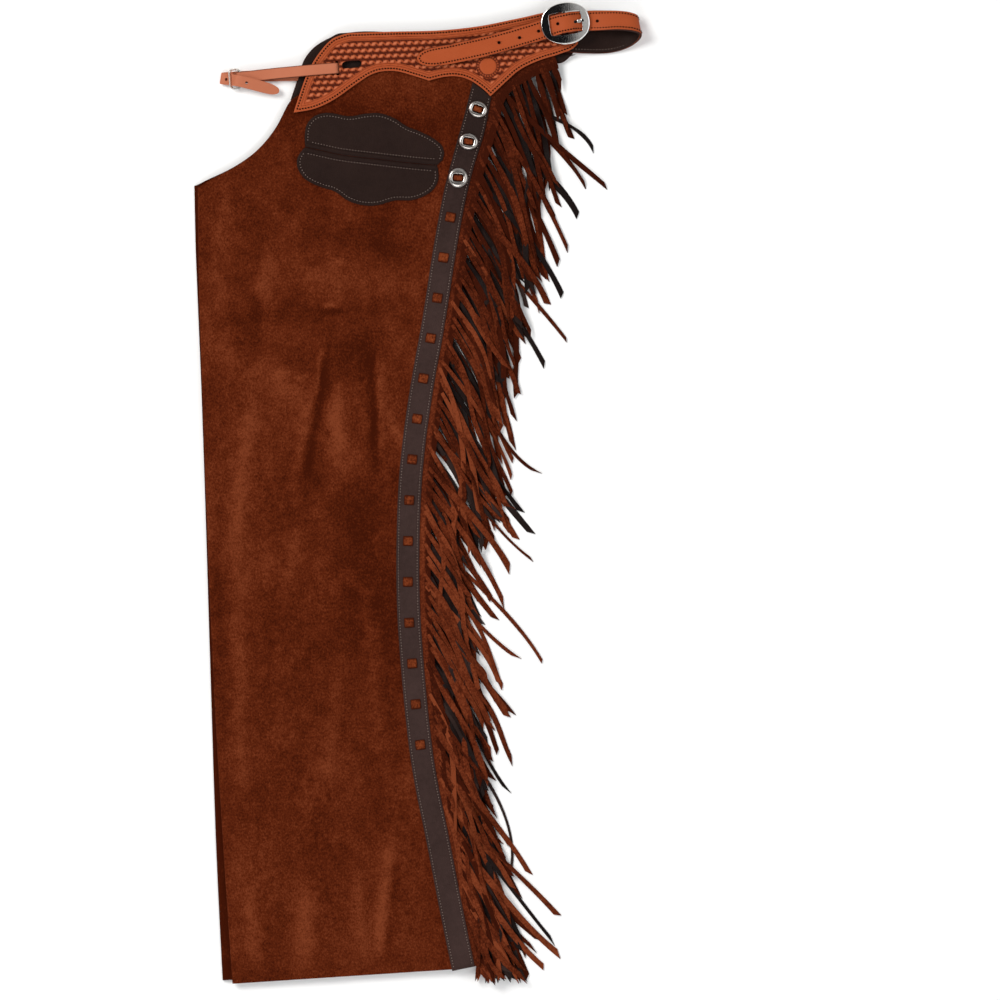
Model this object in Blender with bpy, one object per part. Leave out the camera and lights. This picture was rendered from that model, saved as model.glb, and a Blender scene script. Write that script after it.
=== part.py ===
"""A pair of western chaps in leather, laid flat and folded double.

The wearer's left leg lies on top with its outside up.  The right leg lies beneath it, outside down.
Each leg is one suede hide wrapped round the inner leg, so that front and back meet at the outer seam,
under a trim strip with a fringe beyond it.  Lengths in the tables are in millimetres.  The origin is on
the ground under the middle of the garment, +Y runs from hem to waist and +Z is up.
"""

import math
import random

import bmesh
import bpy
import numpy as np
from mathutils import Vector
from mathutils.geometry import delaunay_2d_cdt

MM = 0.001
GAP = 0.3                 # play between pieces that lie on or beside each other

# ---- leathers -------------------------------------------------------------------------------------
SUEDE = 1.6               # suede of the legs and of one fringe
SMOOTH = 1.2              # smooth dark leather of trims, pocket and linings
TOOLED = 3.0              # tooled leather of the yokes
STRAP = 1.8               # front straps
BELT = 2.4                # belt leather, without its lining
BELT_LINING = 1.0
SMOOTH_FRINGE = 1.2
YOKE_LINING = 1.0

# ---- undersides of the layers, from the ground up ---------------------------------------------------
Z_RIGHT_YOKE = 0.0
Z_RIGHT_FRONT = 0.0
Z_RIGHT_FRONT_ON_YOKE = TOOLED + GAP
Z_RIGHT_LINING = 5.4
Z_RIGHT_BACK = 2.4
Z_LEFT_BACK = 4.9
Z_LEFT_FRONT = 7.5
Z_LEFT_FRONT_IN_YOKE = 8.2
Z_LEFT_YOKE = Z_LEFT_FRONT_IN_YOKE + SUEDE + GAP
Z_ON_LEFT_YOKE = Z_LEFT_YOKE + TOOLED + GAP

# ---- the outer seam -----------------------------------------------------------------------------------
TRIM_WIDTH = 24.6
SEAM_LIFT_WIDTH = 42.0    # the layers climb over the lower trim strip this far in from the seam
SEAM_LIFT = {"right_front": 1.5, "right_back": 1.4, "left_back": 0.9, "left_front": 0.7}
MARGIN_SUEDE = 24.5       # uncut band between the seam and the roots of the suede fringe
MARGIN_SMOOTH = 24.0      # the same on the smooth fringe, hidden under the trim and the suede one


def finish(name, colour, roughness, metallic=0.0):
    """A plain material of one colour."""
    material = bpy.data.materials.new(name)
    material.use_nodes = True
    shader = material.node_tree.nodes["Principled BSDF"]
    shader.inputs["Base Color"].default_value = (*colour, 1.0)
    shader.inputs["Roughness"].default_value = roughness
    shader.inputs["Metallic"].default_value = metallic
    return material


def clear_scene():
    for item in list(bpy.data.objects):
        bpy.data.objects.remove(item)


def make_solid(name, points, faces, material, smooth=True):
    """One closed mesh object from points in millimetres."""
    mesh = bpy.data.meshes.new(name)
    mesh.from_pydata([tuple(float(value) * MM for value in point) for point in points], [], faces)
    shell = bmesh.new()
    shell.from_mesh(mesh)
    bmesh.ops.recalc_face_normals(shell, faces=shell.faces)
    if shell.calc_volume(signed=True) < 0:
        bmesh.ops.reverse_faces(shell, faces=shell.faces)
    shell.to_mesh(mesh)
    shell.free()
    mesh.materials.append(material)
    if smooth:
        mesh.shade_smooth()
        mesh.set_sharp_from_angle(angle=math.radians(40))
    item = bpy.data.objects.new(name, mesh)
    bpy.context.scene.collection.objects.link(item)
    return item


def running_length(curve):
    """How far along a line each of its points lies."""
    return np.concatenate([[0.0], np.cumsum(np.linalg.norm(np.diff(curve, axis=0), axis=1))])


def smooth_path(points, count):
    """Points evenly spaced along a smooth curve through the given ones, in two or three dimensions."""
    given = np.array(points, dtype=float)
    before = given[0] * 2 - given[1]
    after = given[-1] * 2 - given[-2]
    knots = np.vstack([before, given, after])
    fine = [given[0]]
    for index in range(1, len(knots) - 2):
        p0, p1, p2, p3 = knots[index - 1:index + 3]
        step1 = np.linalg.norm(p1 - p0) ** 0.5
        step2 = np.linalg.norm(p2 - p1) ** 0.5
        step3 = np.linalg.norm(p3 - p2) ** 0.5
        lean1 = ((p1 - p0) / step1 - (p2 - p0) / (step1 + step2) + (p2 - p1) / step2) * step2
        lean2 = ((p2 - p1) / step2 - (p3 - p1) / (step2 + step3) + (p3 - p2) / step3) * step2
        for share in np.linspace(0, 1, 17)[1:]:
            square, cube = share ** 2, share ** 3
            fine.append(
                p1 * (2 * cube - 3 * square + 1) + lean1 * (cube - 2 * square + share)
                + p2 * (3 * square - 2 * cube) + lean2 * (cube - square)
            )
    fine = np.array(fine)
    run = running_length(fine)
    wanted = np.linspace(0, run[-1], count)
    return np.stack([np.interp(wanted, run, fine[:, axis]) for axis in range(fine.shape[1])], axis=1)


def soft_step(value, low, high):
    """0 below low, 1 above high, and a smooth rise between."""
    share = min(max((value - low) / (high - low), 0.0), 1.0)
    return share * share * (3 - 2 * share)


def wall(name, tops, unders, cells, material):
    """A closed wall over a grid: tops and unders hold its two faces, cells says which squares exist."""
    rows, columns = len(tops), len(tops[0])
    points, number = [], {}

    def corner(side, row, column):
        key = (side, row, column)
        if key not in number:
            number[key] = len(points)
            points.append((tops if side else unders)[row][column])
        return number[key]

    faces = []
    for row in range(rows - 1):
        for column in range(columns - 1):
            if not cells(row, column):
                continue
            ring = [(row, column), (row, column + 1), (row + 1, column + 1), (row + 1, column)]
            for split in (ring[:3], [ring[0], ring[2], ring[3]]):
                faces.append([corner(1, *at) for at in split])
                faces.append([corner(0, *at) for at in reversed(split)])
            neighbours = [(row - 1, column), (row, column + 1), (row + 1, column), (row, column - 1)]
            for side, (next_row, next_column) in enumerate(neighbours):
                inside = 0 <= next_row < rows - 1 and 0 <= next_column < columns - 1
                if inside and cells(next_row, next_column):
                    continue
                first, second = ring[side], ring[(side + 1) % 4]
                faces.append([corner(1, *second), corner(1, *first), corner(0, *first), corner(0, *second)])
    return make_solid(name, points, faces, material)


def every_cell(row, column):
    return True


def inside_outline(x, y, outline):
    """Whether a point lies inside a closed outline."""
    inside = False
    for (x1, y1), (x2, y2) in zip(outline, np.roll(outline, -1, axis=0)):
        if (y1 > y) != (y2 > y) and x < (x2 - x1) * (y - y1) / (y2 - y1) + x1:
            inside = not inside
    return inside


FLAT = 1000.0             # a plate's spacing of inner points where it lies flat and needs none


def plate(name, outline, thickness, under, material, holes=(), spacing=FLAT):
    """A flat-cut piece of leather with any outline, its underside at the height under(x, y)."""
    loops = [np.array(outline)] + [np.array(hole) for hole in holes]
    flat, edges = [], []
    for loop in loops:
        start = len(flat)
        flat += [Vector(point) for point in loop.tolist()]
        edges += [(start + k, start + (k + 1) % len(loop)) for k in range(len(loop))]
    low, high = loops[0].min(axis=0), loops[0].max(axis=0)
    for x in np.arange(low[0] + spacing / 2, high[0], spacing):
        for y in np.arange(low[1] + spacing / 2, high[1], spacing):
            near = min(np.linalg.norm(loop - (x, y), axis=1).min() for loop in loops)
            free = not any(inside_outline(x, y, hole) for hole in loops[1:])
            if near > spacing / 3 and free and inside_outline(x, y, loops[0]):
                flat.append(Vector((x, y)))
    flat, _, triangles, _, _, _ = delaunay_2d_cdt(flat, edges, [], 0, 1e-5)
    kept = []
    for triangle in triangles:
        middle = sum((flat[k] for k in triangle), Vector((0, 0))) / 3
        if inside_outline(*middle, loops[0]) and not any(inside_outline(*middle, h) for h in loops[1:]):
            kept.append(list(triangle))
    heights = [under(*point) for point in flat]
    points = [(*point, z) for point, z in zip(flat, heights)]
    points += [(*point, z + thickness) for point, z in zip(flat, heights)]
    faces, count = [], len(flat)
    ways = {(a, b) for t in kept for a, b in zip(t, t[1:] + t[:1])}
    for triangle in kept:
        faces.append([k + count for k in triangle])
        faces.append(triangle[::-1])
    faces += [[a, b, b + count, a + count] for a, b in sorted(ways) if (b, a) not in ways]
    return make_solid(name, points, faces, material)


def ribbon(name, path, widths, thickness, material, offset=0.0, across=(-1.0, 1.0), cells=every_cell):
    """A strap along a path of rows (x, y, z, heading, lean): its width is level across the heading
    and turned up by lean, and its face is set off the path, towards the inside of a left turn, by offset."""
    path = np.array(path, dtype=float)
    centre = path[:, :3]
    ahead = np.gradient(centre, axis=0)
    ahead /= np.linalg.norm(ahead, axis=1)[:, None]
    heading, lean = np.radians(path[:, 3]), np.radians(path[:, 4])
    side = np.stack([-np.sin(heading) * np.cos(lean), np.cos(heading) * np.cos(lean), np.sin(lean)], axis=1)
    out = np.cross(ahead, side)
    out /= np.linalg.norm(out, axis=1)[:, None]
    widths = np.broadcast_to(np.array(widths, dtype=float), (len(path),))
    rows = [[centre[k] + side[k] * share * widths[k] / 2 for share in across] for k in range(len(path))]
    tops = [[point + out[k] * (offset + thickness / 2) for point in row] for k, row in enumerate(rows)]
    unders = [[point + out[k] * (offset - thickness / 2) for point in row] for k, row in enumerate(rows)]
    return wall(name, tops, unders, cells, material)


# ---- the outer seam as a curve ---------------------------------------------------------------------
# From the hem up to the hip and on, under the yoke, to the rear end of the leg panel.
SEAM_POINTS = [
    (48.7, -507.9), (38.0, -456.6), (21.4, -371.0), (4.8, -285.4), (-8.0, -157.0), (-10.7, -92.8),
    (-8.0, 14.2), (2.1, 99.8), (17.1, 185.4), (30.5, 271.0), (43.3, 335.2), (61.0, 395.2), (70.6, 429.4),
    (80.5, 444.5), (98.4, 458.5), (119.8, 470.0), (143.4, 477.5),
]
SEAM = smooth_path(SEAM_POINTS, 400)


def seam_x(y):
    return float(np.interp(y, SEAM[:, 1], SEAM[:, 0]))


def beside_seam(distance):
    """The seam curve moved sideways, away from the leg, by a distance."""
    ahead = np.gradient(SEAM, axis=0)
    ahead /= np.linalg.norm(ahead, axis=1)[:, None]
    return SEAM + np.stack([ahead[:, 1], -ahead[:, 0]], axis=1) * distance


# ---- heights of the layers ----------------------------------------------------------------------------
# Soft folds that stand up in the upper leg's front: middle, half length, half width, height and turn.
FOLDS = [
    {"x": -78, "y": 95, "long": 125, "wide": 15, "high": 3.2, "turn": 96},
    {"x": -104, "y": 120, "long": 60, "wide": 10, "high": 2.2, "turn": 62},
    {"x": -38, "y": -60, "long": 210, "wide": 17, "high": 2.8, "turn": 91},
    {"x": -150, "y": -120, "long": 190, "wide": 20, "high": 2.4, "turn": 93},
    {"x": -120, "y": 225, "long": 90, "wide": 14, "high": 1.8, "turn": 70},
    {"x": -22, "y": -400, "long": 110, "wide": 12, "high": 3.0, "turn": 86},
    {"x": -100, "y": -390, "long": 120, "wide": 16, "high": 2.2, "turn": 94},
    {"x": -165, "y": -420, "long": 90, "wide": 14, "high": 1.8, "turn": 98},
    {"x": -195, "y": 150, "long": 130, "wide": 13, "high": 2.0, "turn": 90},
]
POCKET_FLOOR = 300.0      # no folds above this height: pocket and yoke hold the panel flat


def seam_lift(layer, x, y):
    edge = seam_x(y)
    return SEAM_LIFT[layer] * soft_step(x, edge - SEAM_LIFT_WIDTH, edge - SEAM_LIFT_WIDTH / 2)


def left_front(x, y):
    """Underside of the upper leg's front panel."""
    in_yoke = (Z_LEFT_FRONT_IN_YOKE - Z_LEFT_FRONT) * soft_step(y, 390, 404)
    height = Z_LEFT_FRONT + max(seam_lift("left_front", x, y), in_yoke)
    calm = soft_step(seam_x(y) - x, 14, 40) * soft_step(POCKET_FLOOR - y, 0, 45)
    for fold in FOLDS:
        turn = math.radians(fold["turn"])
        dx, dy = x - fold["x"], y - fold["y"]
        along = (dx * math.cos(turn) + dy * math.sin(turn)) / fold["long"]
        aside = (dy * math.cos(turn) - dx * math.sin(turn)) / fold["wide"]
        height += calm * fold["high"] * math.exp(-along ** 4 - aside ** 2)
    return height


def left_back(x, y):
    """Underside of the upper leg's back, and of its smooth fringe, which rises over the yoke's lining."""
    over_lining = (Z_RIGHT_LINING + YOKE_LINING + GAP - Z_LEFT_BACK) * soft_step(y, 398, 418)
    return Z_LEFT_BACK + max(seam_lift("left_back", x, y), over_lining)


def right_front(x, y):
    """Underside of the lower leg's front panel: on the ground, and up on its yoke near the waist."""
    on_yoke = Z_RIGHT_FRONT_ON_YOKE * soft_step(y, 386, 417)
    return Z_RIGHT_FRONT + max(on_yoke, seam_lift("right_front", x, y))


def right_back(x, y):
    """Underside of the lower leg's back, and of its smooth fringe."""
    return max(Z_RIGHT_BACK + seam_lift("right_back", x, y), right_front(x, y) + SUEDE + GAP)


# ---- the legs --------------------------------------------------------------------------------------
# One row across a leg for each line: where it starts at the inner leg and where it meets the seam.
LEG_ROWS = {
    "left": [
        {"x": -198.5, "y": -524.0, "seam_y": -507.9}, {"x": -207.0, "y": -398.8, "seam_y": -390.0},
        {"x": -217.7, "y": -221.2, "seam_y": -217.0}, {"x": -225.8, "y": -28.6, "seam_y": -27.0},
        {"x": -231.1, "y": 121.2, "seam_y": 122.0}, {"x": -234.9, "y": 249.6, "seam_y": 252.0},
        {"x": -235.6, "y": 327.0, "seam_y": 332.0},
    ],
    "right": [
        {"x": -209.2, "y": -520.8, "seam_y": -506.0}, {"x": -216.1, "y": -381.7, "seam_y": -372.0},
        {"x": -222.0, "y": -199.2, "seam_y": -195.0}, {"x": -227.9, "y": -7.2, "seam_y": -5.0},
        {"x": -232.7, "y": 131.9, "seam_y": 133.0}, {"x": -238.1, "y": 260.3, "seam_y": 262.0},
        {"x": -239.5, "y": 329.0, "seam_y": 334.0},
    ],
}
# The crotch curve from the end of the inner leg up to the yoke, and the panel's edge under the yoke.
CROTCH_ROWS = [
    {"x": -218.3, "y": 337.4, "seam_y": 345.0, "bow": 0.0},
    {"x": -202.2, "y": 344.3, "seam_y": 355.0, "bow": 1.0},
    {"x": -183.0, "y": 356.6, "seam_y": 369.0, "bow": 2.0},
    {"x": -168.0, "y": 369.5, "seam_y": 381.0, "bow": 4.0},
    {"x": -157.3, "y": 382.3, "seam_y": 393.0, "bow": 6.0},
    {"x": -148.7, "y": 395.2, "seam_y": 408.0, "bow": 9.0},
    {"x": -142.8, "y": 408.0, "seam_y": 427.0, "bow": 13.0},
    {"x": -139.0, "y": 415.5, "seam_y": 445.5, "bow": 15.0},
    {"x": -135.5, "y": 420.0, "seam_y": 458.5, "bow": 17.0},
    {"x": -130.0, "y": 424.0, "seam_y": 469.5, "bow": 19.0},
    {"x": -123.0, "y": 428.0, "seam_y": 477.0, "bow": 22.0},
]
FRONT_SHARES = {
    "left": (0, 0.05, 0.12, 0.2, 0.28, 0.36, 0.44, 0.52, 0.6, 0.68, 0.76, 0.84, 0.92, 1),
    "right": (0, 0.09, 0.18, 0.36, 0.56, 0.78, 1),
}
BACK_SHARES = (0.75, 0.5, 0.18, 0.09, 0)
FOLD_TURNS = 4            # flat steps round the fold at the inner leg
LEG_ROW_COUNT = {"left": 19, "right": 13}
SLOPE_OF_BACK_TOP = 42.0  # the back's top edge climbs this much from the inner leg to the seam


def leg_stations(side):
    """Rows across the leg, each with its inner-leg end, its seam end and the bow of the line between."""
    table = LEG_ROWS[side]
    line = smooth_path([(row["x"], row["y"], row["seam_y"]) for row in table], LEG_ROW_COUNT[side])
    rows = [(x, y, seam_y, 0.0) for x, y, seam_y in line]
    shift = table[-1]["x"] - LEG_ROWS["left"][-1]["x"]
    for row in CROTCH_ROWS:
        fade = soft_step(row["x"], -240, -150)
        rows.append((row["x"] + shift * (1 - fade), row["y"], row["seam_y"], row["bow"]))
    return rows, len(line)


def back_rise(number, wrapped):
    """How far the back's seam end lies above the front's on a row, as its top edge slopes up."""
    return SLOPE_OF_BACK_TOP * max(0.0, (number - wrapped + 4) / 3)


def cut_edge(side, part):
    """Corners of a leg panel's edge along the seam, from the hem up."""
    rows, wrapped = leg_stations(side)
    heights = [row[2] for row in rows]
    if part == "back":
        heights = [y + back_rise(number, wrapped) for number, y in enumerate(heights[:wrapped])]
    return np.array([(seam_x(y), y) for y in heights])


def leg(side, front, back, name, material):
    """A leg's wall: across the front, round the inner leg in a tight fold, and back to the seam."""
    rows, wrapped = leg_stations(side)
    tops, unders = [], []
    front_is_up = front(0, 0) > back(0, 0)
    for number, (inner_x, inner_y, seam_y, bow) in enumerate(rows):
        outer_x = seam_x(seam_y)
        fold_radius = abs(front(inner_x, inner_y) - back(inner_x, inner_y)) / 2
        start_x = inner_x + (fold_radius + SUEDE / 2 if number < wrapped else 0.0)
        over, under = [], []

        def spot(share):
            x = outer_x + (start_x - outer_x) * share
            y = seam_y + (inner_y - seam_y) * share + bow * 4 * share * (1 - share)
            return x, y

        for share in FRONT_SHARES[side]:
            x, y = spot(share)
            low = front(x, y)
            outer, inner = (low + SUEDE, low) if front_is_up else (low, low + SUEDE)
            over.append((x, y, outer))
            under.append((x, y, inner))
        middle = (front(start_x, inner_y) + back(start_x, inner_y)) / 2 + SUEDE / 2
        for turn in range(1, FOLD_TURNS):
            angle = math.pi * turn / FOLD_TURNS
            sink = math.cos(angle) * (1 if front_is_up else -1)
            for radius, line in ((fold_radius + SUEDE / 2, over), (fold_radius - SUEDE / 2, under)):
                line.append((start_x - radius * math.sin(angle), inner_y, middle + radius * sink))
        rise = back_rise(number, wrapped) if number < wrapped else 0.0
        for share in (1,) + BACK_SHARES:
            x, y = spot(share)
            y += rise * (1 - share)
            if rise:
                x = seam_x(y) + (start_x - seam_x(y)) * share
            low = back(x, y)
            outer, inner = (low, low + SUEDE) if front_is_up else (low + SUEDE, low)
            over.append((x, y, outer))
            under.append((x, y, inner))
        tops.append(over)
        unders.append(under)
    last_front = len(FRONT_SHARES[side]) - 1

    def cells(row, column):
        return column < last_front or row < wrapped - 1

    return wall(name, tops, unders, cells, material)


# ---- the yokes -------------------------------------------------------------------------------------
LEFT_YOKE_OUTLINE = [
    (-132.7, 406.4), (-127.3, 423.0), (-116.6, 451.9), (-103.8, 472.2), (-90.0, 486.0), (-72.8, 491.5),
    (-30.0, 492.9), (23.5, 494.3), (66.3, 498.9), (109.1, 507.5), (146.6, 514.5), (162.6, 510.7),
    (171.2, 497.9), (170.1, 478.6), (154.1, 470.1), (130.5, 462.6), (109.1, 452.4), (92.0, 437.5),
    (77.6, 424.0), (68.5, 432.6), (52.0, 442.8), (36.4, 445.4), (24.0, 443.8), (11.8, 440.6),
    (-3.2, 445.4), (-24.6, 450.8), (-46.0, 448.7), (-67.4, 435.8), (-88.8, 420.8), (-110.2, 410.7),
]
LEFT_YOKE_POINTS = (0, 5, 11, 12, 18, 23)     # where the outline turns a corner
RIGHT_YOKE_OUTLINE = [
    (-136.4, 420.3), (-130.5, 438.0), (-121.5, 464.0), (-109.1, 478.6), (-85.6, 491.5), (-56.7, 494.0),
    (-10.0, 492.0), (34.2, 492.0), (87.7, 497.9), (135.9, 504.3), (157.3, 502.2), (169.1, 491.5),
    (169.5, 479.0), (163.7, 468.5), (155.0, 461.0), (145.5, 459.5), (139.1, 466.3), (109.1, 459.4),
    (92.0, 446.0), (77.0, 433.7), (60.0, 443.0), (34.2, 449.0), (11.8, 445.5), (-10.0, 451.0),
    (-35.0, 455.5), (-72.8, 440.0), (-104.9, 425.5),
]
RIGHT_YOKE_POINTS = (0, 4, 16, 19, 22)
LINING_NOTCH = [(169.0, 469.0), (142.6, 470.0), (142.6, 502.5)]   # clear of the belt's sewn end
LINING_SIZE, LINING_MIDDLE = 0.992, (17.0, 468.0)                  # the lining is cut a little smaller
NOTCH_ROOM = 2.0
YOKE_TIP = 18             # number of the outline's point above the trim strip
SLOT = {"x": -70.6, "y": 458.0, "long": 21.0, "wide": 7.2, "turn": 7.0}
SLIT = {"x": -86.0, "y": 453.9, "long": 15.4, "wide": 3.6, "turn": 95.0}


def leather_outline(points, corners, step=9.0):
    """A closed outline through the given points, smooth except at the numbered corners."""
    outline = []
    turns = list(corners) + [corners[0] + len(points)]
    for first, last in zip(turns, turns[1:]):
        run = [points[k % len(points)] for k in range(first, last + 1)]
        length = sum(math.dist(a, b) for a, b in zip(run, run[1:]))
        outline += smooth_path(run, max(3, round(length / step) + 1))[:-1].tolist()
    return outline


def oblong(hole, sides=12):
    """A slot with round ends."""
    turn = math.radians(hole["turn"])
    radius = hole["wide"] / 2
    reach = hole["long"] / 2 - radius
    points = []
    for k in range(sides):
        angle = 2 * math.pi * (k + 0.5) / sides
        x = radius * math.cos(angle) + math.copysign(reach, math.cos(angle))
        y = radius * math.sin(angle)
        points.append((hole["x"] + x * math.cos(turn) - y * math.sin(turn),
                       hole["y"] + x * math.sin(turn) + y * math.cos(turn)))
    return points


def make_yokes(tooled, lining):
    left = leather_outline(LEFT_YOKE_OUTLINE, LEFT_YOKE_POINTS)
    holes = [oblong(SLOT), oblong(SLIT)]
    plate("left_yoke", left, TOOLED, lambda x, y: Z_LEFT_YOKE, tooled, holes=holes)
    right = leather_outline(RIGHT_YOKE_OUTLINE, RIGHT_YOKE_POINTS)
    plate("right_yoke", right, TOOLED, lambda x, y: Z_RIGHT_YOKE, tooled)
    middle = np.array(LINING_MIDDLE)
    inset = [middle + (np.array(point) - middle) * LINING_SIZE for point in right]
    notch_x, notch_y = LINING_NOTCH[1]
    front = [tuple(p) for p in inset if p[0] < notch_x - NOTCH_ROOM or p[1] < notch_y - NOTCH_ROOM]
    after_notch = next(k for k, p in enumerate(front) if p[0] > notch_x and p[1] < notch_y)
    outline = front[:after_notch] + LINING_NOTCH[::-1] + front[after_notch:]
    plate("right_yoke_lining", outline, YOKE_LINING, lambda x, y: Z_RIGHT_LINING, lining)


# ---- trim strips, lace and conchos ---------------------------------------------------------------------
TRIM_ROWS = 26
LEFT_TRIM_COLUMNS = (0.5, 0.2, -0.1, -0.4, -0.5)     # across the strip, one of them under the yoke's point
RIGHT_TRIM_COLUMNS = (0.5, 0.0, -0.5)
RIGHT_TRIM_TOP = 392.0
TRIM_LEAN = {"by": 3.0, "low": 388.0, "high": 422.0}
LACE_SIZE, LACE_HIGH = 10.7, 1.1
LACE_FIRST_Y, LACE_PITCH, LACE_COUNT = 294.8, 43.65, 14
CONCHOS = [
    {"x": 64.1, "y": 410.1, "wide": 22.0, "tall": 18.8, "turn": -19.0},
    {"x": 54.0, "y": 375.6, "wide": 22.6, "tall": 18.7, "turn": -9.0},
    {"x": 42.9, "y": 336.9, "wide": 22.2, "tall": 22.4, "turn": -3.0},
]
CONCHO_HIGH, CONCHO_EDGE = 3.4, 0.9
CONCHO_SLOT = {"long": 12.0, "wide": 8.8}


def left_front_top(x, y):
    return left_front(x, y) + SUEDE


def seam_place(y):
    """A point of the seam and the direction of the seam there, as an angle."""
    k = min(max(int(np.searchsorted(SEAM[:, 1], y)), 2), len(SEAM) - 3)
    ahead = SEAM[k + 2] - SEAM[k - 2]
    return seam_x(y), math.atan2(ahead[1], ahead[0])


def trim_line(reach):
    """A line along a trim strip, reach nearer the leg than the seam; the strip leans in at the waist."""
    line = beside_seam(-reach)
    lean = [TRIM_LEAN["by"] * soft_step(y, TRIM_LEAN["low"], TRIM_LEAN["high"]) for y in line[:, 1]]
    return line - np.stack([lean, np.zeros(len(line))], axis=1)


def below_yoke(line, yoke):
    """The height at which a line along the strip stops, a gap short of the yoke's edge."""
    tip_x, tip_y = LEFT_YOKE_OUTLINE[YOKE_TIP]
    for y in np.arange(tip_y - TRIM_WIDTH, tip_y + TRIM_WIDTH, GAP / 3):
        x = np.interp(y, line[:, 1], line[:, 0])
        past_tip = x > tip_x - GAP and y > tip_y - 2 * GAP
        if past_tip or inside_outline(x, y + 2 * GAP, yoke):
            return y
    return tip_y


def make_trims(material):
    """The upper strip lies on the seam, up to the yoke; the lower one on the ground beneath its own seam."""
    yoke = leather_outline(LEFT_YOKE_OUTLINE, LEFT_YOKE_POINTS)
    for name, row_count, columns in (("left_trim", TRIM_ROWS, LEFT_TRIM_COLUMNS),
                                     ("right_trim", TRIM_ROWS // 2, RIGHT_TRIM_COLUMNS)):
        tops, unders = [], []
        lines = [trim_line(aside * TRIM_WIDTH) for aside in columns]
        ends = [below_yoke(line, yoke) if name == "left_trim" else RIGHT_TRIM_TOP for line in lines]
        for share in np.linspace(0, 1, row_count):
            top, under = [], []
            for line, end in zip(lines, ends):
                y = line[0, 1] + (end - line[0, 1]) * share
                x = float(np.interp(y, line[:, 1], line[:, 0]))
                base = left_front_top(min(x, seam_x(y)), y) + GAP if name == "left_trim" else 0.0
                top.append((x, y, base + SMOOTH))
                under.append((x, y, base))
            tops.append(top)
            unders.append(under)
        wall(name, tops, unders, every_cell, material)


def trim_top(x, y):
    return left_front_top(min(x, seam_x(y)), y) + GAP + SMOOTH


def ring_solid(name, outer, inner, levels, place, material):
    """A ring between an outer and an inner outline: levels holds (share towards the inside, height)."""
    outer, inner = np.array(outer), np.array(inner)
    count = len(outer)
    points, faces = [], []
    for share, height in levels:
        loop = outer + (inner - outer) * share
        points += [place(x, y, height) for x, y in loop]
    for ring in range(len(levels)):
        a, b = ring * count, (ring + 1) % len(levels) * count
        faces += [[a + k, a + (k + 1) % count, b + (k + 1) % count, b + k] for k in range(count)]
    return make_solid(name, points, faces, material)


def rounded(half_x, half_y, power, sides):
    """An oval outline; a higher power makes it squarer."""
    points = []
    for k in range(sides):
        angle = 2 * math.pi * k / sides
        c, s = math.cos(angle), math.sin(angle)
        size = (abs(c / half_x) ** power + abs(s / half_y) ** power) ** (-1 / power)
        points.append((size * c, size * s))
    return points


def make_concho(number, row, metal, suede):
    """A domed ring that the lace passes through."""
    base = trim_top(row["x"], row["y"]) + GAP
    turn = math.radians(row["turn"])

    def place(u, v, height):
        return (row["x"] + u * math.cos(turn) - v * math.sin(turn),
                row["y"] + u * math.sin(turn) + v * math.cos(turn), base + height)

    outer = rounded(row["wide"] / 2, row["tall"] / 2, 2, 20)
    inner = rounded(CONCHO_SLOT["long"] / 2, CONCHO_SLOT["wide"] / 2, 5, 20)
    levels = [(0, 0), (0, CONCHO_EDGE), (0.3, CONCHO_HIGH * 0.82), (0.65, CONCHO_HIGH),
              (1, CONCHO_HIGH * 0.85), (1, 0)]
    ring_solid(f"concho_{number}", outer, inner, levels, place, metal)
    half_x, half_y = CONCHO_SLOT["long"] / 2 - 3 * GAP, CONCHO_SLOT["wide"] / 2 - 3 * GAP
    pad(f"concho_lace_{number}", place, half_x, half_y, CONCHO_HIGH * 0.55, suede)


def pad(name, place, half_x, half_y, high, material):
    """A small cushion of leather with a bevelled top."""
    loops = [(1, 0), (1, high * 0.6), (0.78, high)]
    corners = [(-1, -1), (1, -1), (1, 1), (-1, 1)]
    points = [place(u * half_x * size, v * half_y * size, z) for size, z in loops for u, v in corners]
    faces = [[3, 2, 1, 0], [8, 9, 10, 11]]
    for ring in range(2):
        for k in range(4):
            a, b = ring * 4 + k, ring * 4 + (k + 1) % 4
            faces.append([a, b, b + 4, a + 4])
    return make_solid(name, points, faces, material, smooth=False)


def make_lace(suede):
    for number in range(LACE_COUNT):
        run = running_length(SEAM)
        start = np.interp(LACE_FIRST_Y, SEAM[:, 1], run)
        y = float(np.interp(start - number * LACE_PITCH, run, SEAM[:, 1]))
        x, angle = seam_place(y)
        base = trim_top(x, y) + GAP
        turn = angle - math.pi / 2

        def place(u, v, height):
            return (x + u * math.cos(turn) - v * math.sin(turn),
                    y + u * math.sin(turn) + v * math.cos(turn), base + height)

        pad(f"lace_{number + 1:02d}", place, LACE_SIZE / 2, LACE_SIZE / 2, LACE_HIGH, suede)


# ---- pocket ------------------------------------------------------------------------------------------
# The outlines of both pieces but for the mouth, and the mouth between them from the seam side inwards.
POCKET_UPPER = [
    (-120.3, 370.0), (-120.9, 383.0), (-117.5, 396.0), (-108.0, 404.0), (-96.3, 406.4), (-85.6, 404.8),
    (-72.8, 402.6), (-56.0, 405.4), (-40.7, 405.9), (-25.0, 400.5), (-11.8, 391.9), (2.1, 386.5),
    (18.2, 378.0), (26.8, 369.5), (28.2, 361.8), (25.6, 354.6), (20.6, 350.5),
]
POCKET_LOWER = [
    (-120.3, 370.0), (-126.8, 362.0), (-129.5, 352.0), (-122.0, 337.0), (-104.9, 327.6), (-88.8, 322.4),
    (-75.0, 312.8), (-59.9, 307.9), (-44.0, 307.6), (-24.6, 312.8), (-5.0, 313.4), (12.8, 321.3),
    (20.9, 331.5), (22.0, 341.5), (20.6, 350.5),
]
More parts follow.
